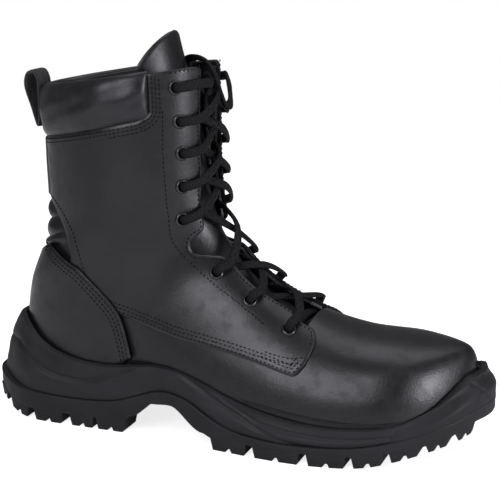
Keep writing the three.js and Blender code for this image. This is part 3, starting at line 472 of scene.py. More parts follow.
# %% A material from a group
def finish(name, group, settings, dark, light, height, roughness=None, sheen=0.0, coat=0.0, metal=0.0,
           specular=0.4):
    """Colour runs from dark to light by the group's tone; height is the bump's depth in metres."""
    material = bpy.data.materials.new(name)
    material.use_nodes = True
    tree = material.node_tree
    shader = tree.nodes["Principled BSDF"]
    skin_node = tree.nodes.new("ShaderNodeGroup")
    skin_node.node_tree = group
    for label, value in settings.items():
        skin_node.inputs[label].default_value = value
    colors = tree.nodes.new("ShaderNodeMix")
    colors.data_type = "RGBA"
    colors.inputs["A"].default_value = (*dark, 1)
    colors.inputs["B"].default_value = (*light, 1)
    tree.links.new(skin_node.outputs["Tone"], colors.inputs["Factor"])
    tree.links.new(colors.outputs["Result"], shader.inputs["Base Color"])
    if roughness is None:
        tree.links.new(skin_node.outputs["Roughness"], shader.inputs["Roughness"])
    else:
        shader.inputs["Roughness"].default_value = roughness
    bump = tree.nodes.new("ShaderNodeBump")
    bump.inputs["Distance"].default_value = height
    bump.inputs["Strength"].default_value = 1.0
    tree.links.new(skin_node.outputs["Height"], bump.inputs["Height"])
    tree.links.new(bump.outputs["Normal"], shader.inputs["Normal"])
    shader.inputs["Sheen Weight"].default_value = sheen
    shader.inputs["Coat Weight"].default_value = coat
    shader.inputs["Coat Roughness"].default_value = 0.25
    shader.inputs["Metallic"].default_value = metal
    shader.inputs["Specular IOR Level"].default_value = specular
    return material


# %% The boot's finishes
leather = finish("black leather", leather_skin, {"Grain": 900, "Depth": 1, "Edges": 1},
                 (0.006, 0.006, 0.0072), (0.02, 0.02, 0.0228), 0.00012, coat=0.2)
soft_leather = finish("soft leather", leather_skin, {"Grain": 700, "Depth": 0.8, "Edges": 0.5},
                      (0.0065, 0.0065, 0.008), (0.02, 0.02, 0.023), 0.00012, coat=0.15)
inner_leather = finish("inner leather", leather_skin, {"Grain": 800, "Depth": 1, "Edges": 0},
                       (0.02, 0.02, 0.022), (0.04, 0.04, 0.042), 0.0001)
rubber = finish("black rubber", moulded_skin, {"Size": 1400, "Depth": 1},
                (0.011, 0.011, 0.0125), (0.02, 0.02, 0.0225), 0.00006, specular=0.3)
foam_sole = finish("moulded sole", moulded_skin, {"Size": 2200, "Depth": 0.7},
                   (0.012, 0.012, 0.0138), (0.021, 0.021, 0.024), 0.00004, specular=0.35)
fibre_board = finish("fibre board", moulded_skin, {"Size": 900, "Depth": 1},
                     (0.24, 0.19, 0.13), (0.34, 0.28, 0.2), 0.0001)
foam_padding = finish("open foam", moulded_skin, {"Size": 600, "Depth": 1},
                      (0.03, 0.03, 0.03), (0.09, 0.09, 0.09), 0.0003)
steel = finish("plain steel", moulded_skin, {"Size": 300, "Depth": 0.3},
               (0.42, 0.42, 0.43), (0.55, 0.55, 0.56), 0.00002, roughness=0.32, metal=1.0)
enamel = finish("black enamel", moulded_skin, {"Size": 800, "Depth": 0.3},
                (0.012, 0.012, 0.013), (0.03, 0.03, 0.032), 0.00002, roughness=0.22, coat=0.6)
aglet_film = finish("lace tip film", moulded_skin, {"Size": 700, "Depth": 0.4},
                    (0.015, 0.015, 0.016), (0.03, 0.03, 0.03), 0.00002, roughness=0.2)
braid = finish("braided lace", weave, {"Across": 12.566, "Along": 1500},
               (0.003, 0.003, 0.0035), (0.009, 0.009, 0.01), 0.0003, roughness=0.7, specular=0.2)
webbing = finish("ribbed webbing", weave, {"Across": 25.13, "Along": 1800},
                 (0.008, 0.008, 0.009), (0.025, 0.025, 0.027), 0.0003, roughness=0.75, sheen=0.2)
lining = finish("spacer mesh lining", weave, {"Across": 500, "Along": 500},
                (0.01, 0.01, 0.011), (0.035, 0.035, 0.037), 0.0004, roughness=0.85, sheen=0.2)
thread = finish("waxed thread", moulded_skin, {"Size": 3000, "Depth": 1},
                (0.002, 0.002, 0.0024), (0.005, 0.005, 0.006), 0.00004, roughness=0.6,
                specular=0.2)
print(len(bpy.data.materials), "materials")

# %% [markdown]
# ## Making a piece
# Each piece starts as a `bmesh` grid or a few vertices. Three helpers do most of the work. `grid` puts
# each vertex of a grid where a function says. `object_from` turns the result into an object. `settle`
# hides the imported parts that the piece stands for and hangs the piece on the body it rides on.


# %% Grids and objects
def grid(columns, rows, place, wrap=False):
    """A grid whose vertices are placed by place(across, along), arrays from 0 to 1, in millimetres."""
    bm = bmesh.new()
    bmesh.ops.create_grid(bm, x_segments=columns, y_segments=rows, size=0.5)
    uv = bm.loops.layers.uv.new("UVMap")
    for face in bm.faces:
        for loop in face.loops:
            loop[uv].uv = (loop.vert.co.x + 0.5, loop.vert.co.y + 0.5)
    flat_places = np.array([vert.co for vert in bm.verts]) + 0.5
    for vert, point in zip(bm.verts, place(flat_places[:, 0], flat_places[:, 1])):
        vert.co = Vector(point) * MM
    if wrap:
        bmesh.ops.remove_doubles(bm, verts=bm.verts, dist=2e-6)
    return bm


def object_from(bm, name, *materials, smooth=True):
    data = bpy.data.meshes.new(name)
    bm.to_mesh(data)
    bm.free()
    made = bpy.data.objects.new(name, data)
    for material in materials:
        data.materials.append(material)
    scene.collection.objects.link(made)
    data.polygons.foreach_set("use_smooth", [smooth] * len(data.polygons))
    return made


# %% Modifiers, and a piece's place in the frame
def apply_modifiers(made, sharp=50):
    """Replaces an object's mesh by what its modifiers make of it."""
    graph = bpy.context.evaluated_depsgraph_get()
    final = bpy.data.meshes.new_from_object(made.evaluated_get(graph))
    made.modifiers.clear()
    made.data = final
    final.polygons.foreach_set("use_smooth", [True] * len(final.polygons))
    final.set_sharp_from_angle(angle=math.radians(sharp))
    return made


def thicken(made, thickness, offset=-1):
    modifier = made.modifiers.new("thickness", "SOLIDIFY")
    modifier.thickness = thickness * MM
    modifier.offset = offset
    return apply_modifiers(made)


def settle(made, slot, *nodes, body=BOOT):
    if nodes:
        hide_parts(*nodes)
    if body:
        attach(made, body)
    print(made.name, len(made.data.polygons), "faces")
    return made


# %% Rolled edges
def roll_edges(bm, depth, width):
    """Rounds a sheet's edges down by depth within width, and keeps each vertex's distance to the edge."""
    layer = bm.verts.layers.float.new("edge")
    rim = [vert for vert in bm.verts if vert.is_boundary]
    tree = kdtree.KDTree(len(rim))
    for index, vert in enumerate(rim):
        tree.insert(vert.co, index)
    tree.balance()
    bm.normal_update()
    moves = []
    for vert in bm.verts:
        _, index, distance = tree.find(vert.co)
        for link in rim[index].link_edges:
            if link.is_boundary:
                a, b = (end.co for end in link.verts)
                foot, share = geometry.intersect_point_line(vert.co, a, b)
                foot = a.lerp(b, min(max(share, 0), 1))
                distance = min(distance, (vert.co - foot).length)
        vert[layer] = distance / MM
        moves.append(vert.normal * -depth * MM * max(0, 1 - distance / MM / width) ** 2)
    for vert, move in zip(bm.verts, moves):
        vert.co += move


# %% A leather panel
def panel(name, rows, bands, lift, thickness, material, sides=(-1, 1), keep=None, roll=(0.7, 1.6)):
    """Leather between lines of the last. Each band is (from, to, columns), with from and to giving u at s.
    keep says whether the faces at an s and in a band stay."""
    rows = np.asarray(rows, float)
    counts = [count for _, _, count in bands]
    starts = np.cumsum([0, *counts])
    whole = bmesh.new()
    for side in sides:
        def place(across, along, side=side):
            s = np.interp(along * (len(rows) - 1), np.arange(len(rows)), rows)
            column = across * starts[-1]
            u = np.zeros_like(s)
            for (first, last, count), start in zip(bands, starts):
                inside = (column >= start - 0.01) & (column <= start + count + 0.01)
                share = (column[inside] - start) / count
                u[inside] = mix(first(s[inside]), last(s[inside]), share)
            u *= side
            return skin(s, u, lift(s, np.abs(u)) if callable(lift) else lift)

        half = grid(starts[-1], len(rows) - 1, place)
        if keep:
            uv = half.loops.layers.uv.active
            gone = []
            for face in half.faces:
                across, along = np.mean([loop[uv].uv for loop in face.loops], axis=0)
                s = float(np.interp(along * (len(rows) - 1), np.arange(len(rows)), rows))
                band = int(np.searchsorted(starts, across * starts[-1], side="right")) - 1
                if not keep(s, band):
                    gone.append(face)
            bmesh.ops.delete(half, geom=gone, context="FACES")
        if side < 0:
            bmesh.ops.reverse_faces(half, faces=half.faces)
        scratch = bpy.data.meshes.new("half")
        half.to_mesh(scratch)
        half.free()
        whole.from_mesh(scratch)
        bpy.data.meshes.remove(scratch)
    bmesh.ops.remove_doubles(whole, verts=whole.verts, dist=1e-5)
    roll_edges(whole, *roll)
    return thicken(object_from(whole, name, material), thickness)


def level(u):
    return lambda s: np.full_like(s, u)


# %% [markdown]
# ## The sole
# A safety boot's sole is moulded in two steps: a light polyurethane midsole that wraps the foot of the
# upper, and a hard rubber outsole with the lugs. Its outline is one closed curve. Every height of the
# sole (the ground, the underside, the line where the two materials meet, the top rim) is a function of
# x, so each ring round the sole is that outline, moved in until it is the right distance from the edge
# or from the upper.

# %% The outline and the heights of the sole
SOLE_EDGE = curve([
    (155.5, 7), (147, -19), (126, -39), (95, -51), (55, -56), (10, -51), (-35, -43), (-80, -41), (-120, -38),
    (-147, -22), (-155.5, 0), (-147, 23), (-120, 38), (-80, 37), (-35, 36), (10, 45), (55, 54), (95, 56),
    (126, 47), (147, 31),
], per_span=60, closed=True)
AROUND = 400
LUG_DEPTH = 6.5
RIM_WALL = 3.4
GUARD_WALL = 3.2


def heights(*points):
    xs, zs = np.array(points, float).T

    def height(x):
        x = np.clip(x, xs[0], xs[-1])
        i = np.clip(np.searchsorted(xs, x, side="right"), 1, len(xs) - 1)
        return mix(zs[i - 1], zs[i], ease(x, xs[i - 1], xs[i]))
    return height


def flowing(*points):
    """Heights along a smooth curve through points."""
    xs, zs = curve(points, 12).T
    return lambda x: np.interp(x, xs, zs)


ground = flowing(
    (-156, 12), (-146, 8), (-130, 2.5), (-116, 0.4), (-100, 0), (-60, 0), (0, 0), (70, 0), (84, 0.3),
    (97, 1.6), (112, 5.4), (131, 11), (143, 15), (150, 19),
)
underside = heights(
    (-156, 15), (-135, 8.5), (-115, LUG_DEPTH), (-56, LUG_DEPTH), (-48, 11), (-36, 20), (-24, 21),
    (-2, 8.5), (4, LUG_DEPTH), (84, LUG_DEPTH), (112, 9.6), (131, 14), (152, 22.5),
)
split = flowing(
    (-156, 24), (-140, 21.5), (-110, 18.5), (-85, 17.5), (-60, 19.5), (-44, 25), (-28, 29.5), (-12, 27),
    (2, 20), (16, 14.5), (35, 12), (60, 11.5), (85, 12.5), (100, 14.7), (112, 17.5), (126, 21.5),
    (140, 26.5), (152, 32),
)
rim = flowing(
    (-134, 60), (-122, 54.5), (-112, 49), (-98, 43.8), (-80, 41), (-62, 41.3), (-46, 43.5), (-30, 44),
    (-16, 41.5), (-2, 37.2), (12, 32), (35, 26), (60, 23), (85, 22.7), (110, 25.5), (130, 32),
    (145, 42.5), (151, 47),
)
feather = heights((-131, 31), (-25, 30), (28, 22), (72, 17), (110, 18), (138, 23), (146, 25))


def guard(x):
    return ease(x, 102, 130)


def guard_lean(share):
    return 5.2 * ease(share, 0.45, 1)


print("the rim is", rim(np.array([-120.0, 60.0])).round(1), "mm up at the heel and the ball")


# %% From the sole's edge in to the upper
def edge_at(t):
    at = np.asarray(t) % 1 * len(SOLE_EDGE)
    closed = np.vstack([SOLE_EDGE, SOLE_EDGE[:1]])
    return np.stack([np.interp(at, np.arange(len(closed)), closed[:, k]) for k in range(2)], -1)


def inward_at(t):
    ahead = edge_at(t + 0.004) - edge_at(t - 0.004)
    ahead /= np.linalg.norm(ahead, axis=-1, keepdims=True)
    return np.stack([ahead[..., 1], -ahead[..., 0]], -1)


def reach(t, z):
    """How far in from the sole's edge the upper's outside is, at height z."""
    edge, inward = edge_at(t), inward_at(t)

    def within(distance):
        x, y = np.moveaxis(edge + inward * distance[..., None], -1, 0)
        s, u = locate(x, z)
        here = outside(s, u)
        middle = section(s)[..., 8]
        close = np.hypot(here[..., 0] - x, here[..., 2] - z) < 0.2
        return close & (np.abs(y - middle) < here[..., 1] - middle)

    high = np.full(len(t), 60.0)
    for step in range(60, 0, -1):
        at = np.full(len(t), float(step))
        high = np.where(within(at), at, high)
    low = high - 1
    for _ in range(10):
        half = (low + high) / 2
        hit = within(half)
        low, high = np.where(hit, low, half), np.where(hit, half, high)
    return high


# %% The room between edge and upper, all round the sole
AROUND_T = np.arange(AROUND) / AROUND
EDGE_X = edge_at(AROUND_T)[:, 0]
LEVELS = np.linspace(0, 1, 6)
LOWEST = feather(EDGE_X) + 1.5
HIGHEST = np.maximum(rim(EDGE_X), LOWEST + 2)
reaches = np.stack([reach(AROUND_T, mix(LOWEST, HIGHEST, share)) for share in LEVELS])


def reach_around(z):
    share = np.clip((z - LOWEST) / (HIGHEST - LOWEST), 0, 1) * (len(LEVELS) - 1)
    i = np.clip(np.floor(share).astype(int), 0, len(LEVELS) - 2)
    column = np.arange(AROUND)
    return mix(reaches[i, column], reaches[i + 1, column], share - i)


def upper_outside(x):
    return mix(POCKET_OUT + GAP, VAMP_OUT, ease(x, -44, -34)) + GAP


def ring(z, inset):
    """A ring round the sole at heights z, inset from its edge."""
    xy = edge_at(AROUND_T) + inward_at(AROUND_T) * inset[:, None]
    return np.column_stack([xy, z]) + MIDDLE_SHIFT


print("the upper is", reaches.min().round(1), "to", reaches.max().round(1), "mm in from the sole's edge")


# %% Midsole: a wrapped rim, with the grooves that the mould leaves in its wall
HEEL_GROOVE = np.array([(-156, 17), (-134, 15), (-95, 13), (-77, 11.5), (-53, 3.5), (-40, 0)], float)
TOE_GROOVE = np.array([(6, 0.3), (20, 3), (32, 5.5), (54, 5.5), (103, 5.5), (117, 6.5), (128, 10)], float)
ARCH_GROOVE = np.array([(-19, 0), (0, 3), (29, 7.5), (47, 11), (80, 12.5)], float)
GROOVES = ((HEEL_GROOVE, 1.3, 1.5), (TOE_GROOVE, 0.9, 1.1), (ARCH_GROOVE, 1.0, 1.3))


def groove_depth(x, below):
    """How deep the mould's grooves are at x, below millimetres under the rim."""
    depth = np.zeros_like(x)
    for path, most, width in GROOVES:
        away_from = (below - np.interp(x, *path.T)) / width
        ends = ease(x, path[0, 0] - 1, path[0, 0] + 8) * (1 - ease(x, path[-1, 0] - 8, path[-1, 0] + 1))
        depth = np.maximum(depth, most * ends * np.exp(-away_from ** 2))
    return depth


def side_wall(share, room):
    """How far in from the edge the midsole's outside is at a share of its height, leaning in at the heel."""
    heel = ease(-EDGE_X, 112, 148)
    foot = mix(1.5 - 1.1 * min(share / 0.25, 1), 7.0, heel)
    rise = mix(ease(share, 0.25, 0.97), share ** 1.8, heel)
    return mix(foot, room - RIM_WALL, rise) + RIM_WALL * 0.55 * ease(share, 0.95, 1)


def midsole_rings():
    floor_at = feather(EDGE_X) - 1.6 - 3 * GAP
    top = rim(EDGE_X) - 1.5 * guard(EDGE_X)
    rings = []
    for share in np.concatenate([np.linspace(0, 0.95, 46), [0.975, 0.99, 1.0]]):
        z = mix(split(EDGE_X) + GAP / 2, top, share)
        room = reach_around(z) - upper_outside(EDGE_X)
        wall = side_wall(share, room)
        behind = np.minimum(guard_lean(share) + GUARD_WALL + 5 * GAP, room - 0.8)
        wall = mix(np.minimum(wall, room - 0.8), behind, guard(EDGE_X))
        wall += groove_depth(EDGE_X, top - z) * (1 - guard(EDGE_X))
        rings.append(ring(z, wall))
    for share in (0.97, 0.85, 0.5, 0.25):
        z = mix(floor_at, top, share)
        rings.append(ring(z, reach_around(z) - upper_outside(EDGE_X)))
    rings.append(ring(floor_at, reach_around(floor_at) - upper_outside(EDGE_X) + 0.5))
    return np.stack(rings)


# %% The midsole's mesh
def wrapped(points, wrap_rows=True):
    """A grid through an array of rings of points, each joined to itself."""
    rows, columns = points.shape[:2]

    def place(across, along):
        last = rows if wrap_rows else rows - 1
        row = np.rint(along * last).astype(int) % rows
        return points[row, np.rint(across * columns).astype(int) % columns]

    bm = grid(columns, rows if wrap_rows else rows - 1, place, wrap=True)
    if not wrap_rows:
        bmesh.ops.holes_fill(bm, edges=[edge for edge in bm.edges if edge.is_boundary], sides=0)
    bmesh.ops.recalc_face_normals(bm, faces=bm.faces)
    return bm


def shade(made, sharp=50):
    made.data.set_sharp_from_angle(angle=math.radians(sharp))
    return made


midsole = shade(object_from(wrapped(midsole_rings()), "midsole_wall", foam_sole), 60)
settle(midsole, "sole_foam", "midsole")

# %% [markdown]
# ## The outsole
# The outsole is a slab with a rounded lower edge. It is lofted across: each rung goes down the outer
# side, over the underside and up the inner side. The lugs are blocks with a notch in their middle: one
# profile, bridged across the sole and bevelled. The toe guard is a thick lip that comes up round the toe.


# %% Slab
def slab():
    z_top = split(EDGE_X) - GAP / 2
    z_low = underside(EDGE_X)
    levels = [
        (z_top, 1.2), (z_top - 0.5, 0.35), (z_top - 1.4, 0.3), (mix(z_low, z_top, 0.6), 0.6),
        (z_low + 2.2, 0.5), (z_low + 0.9, 1.0), (z_low + 0.2, 2.0), (z_low, 3.2),
    ]
    heel = 3.5 * ease(-EDGE_X, 118, 150)
    side = np.stack([ring(z, inset + heel) for z, inset in levels])
    half = AROUND // 2
    ours = side[:, :half + 1]
    theirs = side[:, (-np.arange(half + 1)) % AROUND]
    rungs = [*ours]
    rungs += [mix(ours[-1], theirs[-1], share) for share in np.linspace(0, 1, 14)[1:-1]]
    rungs += [*theirs[::-1]]
    rungs += [mix(theirs[0], ours[0], share) for share in (0.2, 0.4, 0.6, 0.8)]
    rungs = np.swapaxes(np.stack(rungs), 0, 1)
    bm = wrapped(rungs, wrap_rows=False)
    bmesh.ops.remove_doubles(bm, verts=bm.verts, dist=1e-5)
    bmesh.ops.dissolve_degenerate(bm, edges=bm.edges, dist=1e-6)
    return bm


# %% One lug
LUG_ROWS = [
    (-146.5, -137), (-134.5, -117.5), (-114.5, -94), (-90, -73), (-72.5, -53), (3.5, 27), (30, 59), (62, 85),
    (87, 105), (107, 123.5), (125.5, 137.5), (139.5, 148.5),
]
LUG_LENGTH = 22
LUG_TAPER = 1.8
LUG_CUT = 2.3                     # height of the notch in a lug
LUG_GAP = 9                       # between a side lug and the middle one
NARROWEST_LUG = 5                 # half width of the smallest middle lug
outer_edge = SOLE_EDGE[:len(SOLE_EDGE) // 2]
inner_edge = SOLE_EDGE[len(SOLE_EDGE) // 2:]


def sole_half(x, side):
    path = outer_edge[::-1] if side < 0 else inner_edge
    return np.interp(x, path[:, 0], path[:, 1])


def add_lug(bm, x0, x1, y_from, y_to):
    """A notched block from x0 to x1. y_from and y_to give its two side faces at x."""
    middle, notch = (x0 + x1) / 2, min(1.9, (x1 - x0) * 0.11)
    outline = [
        (x0, None), (x0 + LUG_TAPER, 0), (middle - notch, 0), (middle - notch * 0.5, LUG_CUT),
        (middle + notch * 0.5, LUG_CUT), (middle + notch, 0), (x1 - LUG_TAPER, 0), (x1, None),
    ]
    loops = []
    for y_at, lean in ((y_from, 1), (y_to, -1)):
        verts = []
        for x, up in outline:
            z = underside(np.array(x)) + 2.6 if up is None else ground(np.array(x)) + up
            inset = 0.0 if up is None else 1.0 * lean * np.sign(y_to(x) - y_from(x))
            spot = np.array((x, y_at(x) + inset, float(z))) + MIDDLE_SHIFT
            verts.append(bm.verts.new(Vector(spot) * MM))
        loops.append([bm.edges.new((a, b)) for a, b in zip(verts, verts[1:] + verts[:1])])
    bmesh.ops.bridge_loops(bm, edges=loops[0] + loops[1])
    for loop in loops:
        bmesh.ops.contextual_create(bm, geom=loop)


# %% All the lugs
def lugs():
    bm = bmesh.new()
    for x0, x1 in LUG_ROWS:
        for side in (-1, 1):
            half = min(abs(sole_half(x0, side)), abs(sole_half(x1, side)))

            def rim_y(x, side=side):
                return float(sole_half(x, side)) - side * (0.75 + 4 * float(ease(-x, 120, 148)))

            def inner_y(x, side=side, half=half):
                return side * max(half - LUG_LENGTH, 11.5)

            add_lug(bm, x0, x1, rim_y, inner_y)
        middle = min(abs(sole_half(x0, -1)), abs(sole_half(x1, 1))) - LUG_LENGTH - LUG_GAP
        if middle > NARROWEST_LUG:
            add_lug(bm, x0 + 2, x1 - 2, lambda x, m=middle: -m, lambda x, m=middle: m)
    bmesh.ops.recalc_face_normals(bm, faces=bm.faces)
    sharp = [edge for edge in bm.edges if edge.is_manifold and edge.calc_face_angle() > 0.5]
    bmesh.ops.bevel(
        bm, geom=sharp, offset=0.35 * MM, segments=2, profile=0.5, affect="EDGES", material=-1,
    )
    return bm


sole_plate = shade(object_from(slab(), "outsole_slab", rubber), 60)
settle(sole_plate, "rubber", "outsole")
settle(shade(object_from(lugs(), "outsole_lugs", rubber), 40), "rubber", "outsole")


# %% Toe guard, with a crossed groove on each side
GUARD_REACH = 58
GUARD_COLUMNS = np.arange(-GUARD_REACH, GUARD_REACH + 1)
# Each ring of the guard's back: its share of the height, how much it is raised, how far in it is.
GUARD_BACK = ((1.0, 0.5, 0.5), (1.0, 0.0, 1.0), (0.75, 0, 1.0), (0.45, 0, 1.0), (0.15, 0, 1.0))


def toe_guard():
    k = GUARD_COLUMNS % AROUND
    x = EDGE_X[k]
    low, top = split(EDGE_X) - 2.5, np.maximum(rim(EDGE_X), split(EDGE_X) + 2)
    here = ease(EDGE_X, 108, 134)
    tuck = mix(3.5, 0.5, ease(EDGE_X, 99, 112))
    steps = np.linalg.norm(np.diff(edge_at(GUARD_COLUMNS / AROUND), axis=0), axis=1)
    arc = np.zeros(AROUND)
    arc[k] = np.concatenate([[0], np.cumsum(steps)]) - steps[:GUARD_REACH].sum()
    rows = []
    for share in np.linspace(0, 1, 34):
        z = mix(low, top, share)
        room = reach_around(z) - upper_outside(EDGE_X)
        inset = mix(side_wall(share, room) + tuck, mix(0.6, 0.1, share) + guard_lean(share), here)
        for centre in (-17, 17):
            for slope in (-0.9, 0.9):
                cross = mix(split(EDGE_X), top, 0.55) + slope * (arc - centre)
                depth = np.exp(-((z - cross) / 0.9) ** 2) * np.exp(-((arc - centre) / 8) ** 4)
                inset = inset + 1.0 * depth * here
        rows.append(ring(z, np.minimum(inset, room - 1.0))[k])
    for share, lift, inner in GUARD_BACK:
        z = mix(low, top, share) + lift * here
        room = reach_around(z) - upper_outside(EDGE_X)
        outer = mix(side_wall(share, room) + tuck, guard_lean(share), here)
        rows.append(ring(z, mix(np.minimum(outer, room - 1.0), room - 0.3, inner))[k])
    return wrapped(np.swapaxes(np.stack(rows), 0, 1), wrap_rows=False)


settle(shade(object_from(toe_guard(), "toe_guard", rubber), 60), "rubber", "outsole")

# %% [markdown]
# ## The upper's leather
# The vamp goes over the toes and runs back under the quarters. The quarters lap over it and the heel
# pocket laps over them, so each panel lies one leather further out. A panel is a grid on the last,
# trimmed by its pattern lines, with its cut edges rolled down a little, and it is thickened inwards.

# %% Vamp
vamp_rows = np.concatenate([np.linspace(0, THROAT, 120), np.linspace(THROAT, 7.7, 70)[1:]])
settle(panel(
    "vamp_leather", vamp_rows, [(level(0), level(VAMP_WING), 34), (level(VAMP_WING), level(1), 40)],
    VAMP_OUT, VAMP_LEATHER, leather, keep=lambda s, band: band == 1 or s < THROAT,
), "leather", "vamp")


# %% The punch for the eyelets' holes
PUNCH_RADIUS = 3.4
PUNCH_DEPTH = 9


def eyelet_frame(index, side):
    s, u = eyelet_s[index], side * eyelet_u[index]
    place_at = Vector(skin(s, u)) * MM
    turn = Vector(normal(s, u)).to_track_quat("Z", "Y").to_matrix().to_4x4()
    return Matrix.Translation(place_at) @ turn


def punch(made, side):
    bm = bmesh.new()
    for index in range(len(EYELETS)):
        bmesh.ops.create_cone(
            bm, cap_ends=True, segments=24, radius1=PUNCH_RADIUS * MM, radius2=PUNCH_RADIUS * MM,
            depth=PUNCH_DEPTH * MM, matrix=eyelet_frame(index, side),
        )
    cutter = object_from(bm, "punch")
    modifier = made.modifiers.new("holes", "BOOLEAN")
    modifier.object = cutter
    modifier.solver = "EXACT"
    apply_modifiers(made)
    bpy.data.objects.remove(cutter)
    return made


# %% Quarters, with a round hole under each eyelet
FACING_CORNER = 5.0
MM_PER_S = 52                     # near the top line
U_PER_MM = 0.0125


def front_of_collar(s):
    """The front end of the collar's opening, with a round corner at its foot."""
    k = np.clip((COLLAR_BOTTOM + COLLAR_CORNER[0] - s) / COLLAR_CORNER[0], 0, 1)
    return COLLAR_FRONT + COLLAR_CORNER[1] * (1 - np.sqrt(1 - k * k))


def collar_start(s):
    return mix(mix(facing_edge(s), low_limit(s), 0.5), front_of_collar(s), ease(s, 9.0, COLLAR_BOTTOM))


def low_limit(s):
    return low_edge(np.minimum(s, LOW_EDGE_END))


def quarter_rear(s):
    beside_pad = achilles_edge(s)
    under_pocket = np.maximum(beside_pad + 0.04, 0.62)
    behind = np.where(s < 9.2, under_pocket, np.minimum(beside_pad + 0.03, QUARTER_BACK))
    return np.where(s > PAD_TOP, QUARTER_BACK, behind)


def quarter_keep(s, band):
    return band == 0 or (band == 1 and s < COLLAR_BOTTOM) or (band == 2 and LOW_EDGE_END < s < COLLAR_BOTTOM)


def facing_line(s):
    """The facing's edge, with a round corner at its top."""
    up = np.clip((s - TOP) * MM_PER_S + FACING_CORNER, 0, FACING_CORNER)
    return facing_edge(s) + U_PER_MM * (FACING_CORNER - np.sqrt(FACING_CORNER ** 2 - up ** 2))


quarter_rows = np.concatenate([
    np.linspace(QUARTER_FRONT, LOW_EDGE_END, 130), np.linspace(LOW_EDGE_END, COLLAR_BOTTOM, 120)[1:],
    np.linspace(COLLAR_BOTTOM, TOP, 50)[1:],
])
for side, word in ((-1, "outer"), (1, "inner")):
    leather_side = panel(
        f"quarter_leather_{word}", quarter_rows,
        [(facing_line, collar_start, 36), (collar_start, low_limit, 36), (low_limit, quarter_rear, 30)],
        0, LEATHER, leather, sides=(side,), keep=quarter_keep,
    )
    settle(punch(leather_side, side), "leather", f"quarter_{word}")


# %% Heel pocket and back strip
def sole_line(s):
    """Where a panel ends that goes down into the sole."""
    return mix(0.88, 1.0, ease(s, 7.7, 7.95))


settle(panel(
    "heel_pocket_leather", np.linspace(5.76, POCKET_TOP, 110), [(counter_edge, sole_line, 60)],
    POCKET_OUT, POCKET_LEATHER, leather,
), "leather", "heel_pocket")
strip_rows = np.linspace(PAD_TOP + 0.02, COLLAR_BOTTOM - 0.02, 50)
settle(panel(
    "back_strip_leather", strip_rows, [(level(0.9), level(1), 20)],
    lambda s, u: POCKET_OUT - 1.1 * (1 - ease(u, 0.9, 0.94)), POCKET_LEATHER, leather,
), "leather", "back_strip")

# %% [markdown]
# ## Padded pieces
# The collar and the flex pad over the heel tendon are soft leather over foam. Both swell between
# their seams and pull flat at them. Their swell is modelled directly as a height over the last, with a
# few shallow folds, because they are short, tight pads that are sewn all round.


# %% Collar: a closed pad round the back of the top line
COLLAR_PROFILE = curve([
    (11.302, -0.9), (11.325, 0.3), (11.39, 1.8), (11.52, 2.9), (11.68, 3.2), (11.86, 2.5), (11.99, 0.6),
    (12.045, -2.4), (12.0, -5.6), (11.8, -6.4), (11.5, -6.4), (11.34, -3.4),
], per_span=5, closed=True)


def collar_pad():
    around = 170
    first = COLLAR_FRONT + 0.002
    turn = np.linspace(first, 2 - first, around + 1)[:, None]
    u = np.where(turn <= 1, -turn, 2 - turn)
    s, lift = COLLAR_PROFILE.T
    s, lift, u = np.broadcast_arrays(s[None], lift[None], u)
    from_end = np.minimum(turn - first, 2 - first - turn)
    full = np.sqrt(np.clip(1 - (1 - np.clip(from_end / 0.075, 0, 1)) ** 2.4, 0, 1))
    outer = ease(lift, -3, 1)
    ripple = 0.22 * np.sin(turn * 41) * np.sin(s * 9 + turn * 5) + 0.18 * np.sin(turn * 17 + s * 21)
    flat = mix(np.minimum(lift, -0.9), lift, full) + ripple * outer * full
    fold = -0.5 * np.exp(-((from_end - 0.13) / 0.03) ** 2) * outer
    points = skin(s, u, flat + fold * full)
    return wrapped(points, wrap_rows=False)


collar = shade(object_from(collar_pad(), "collar_pad", soft_leather), 60)
settle(collar, "soft_leather", "collar")


# %% Flex pad: two rolls over the tendon
ROLL_SEAM = 9.87                  # the s of the seam between the rolls
ROLL_RISE = 0.29


def flex_swell(s, u):
    inwards = ease(u, achilles_edge(s) + 0.03, achilles_edge(s) + 0.14)
    roll = np.abs(np.sin(np.pi * (s - ROLL_SEAM) / ROLL_RISE)) ** 0.6
    above = ease(s, 9.6, 9.8)
    return VAMP_OUT + inwards * above * (1.3 + 2.6 * roll)


flex = panel(
    "flex_pad", np.linspace(9.1, PAD_TOP + 0.02, 80), [(lambda s: achilles_edge(s) + 0.015, level(1), 60)],
    flex_swell, 2.0, soft_leather, roll=(1.0, 2.5),
)
settle(flex, "soft_leather", "achilles_pad")

# %% [markdown]
# ## Tongue
# The tongue runs up under the lacing and stands above it in a soft point. The
# imported model has it as two bodies with a hinge between them. Real leather has no hinge, so one piece
# covers both, its shape running smoothly from the lower part into the point; it rides on neither body.

# %% Tongue
TONGUE_FOOT = 4.05
TONGUE_EDGE = 0.27
TONGUE_TOP = 11.45
TOP_LEAN = 5                      # how far the tongue lies back from the laces at its top
TIP_RISE = 36.5
TIP_LEAN = 11
TIP_SPREAD = 0.5
FOOT_SHARE = 0.78


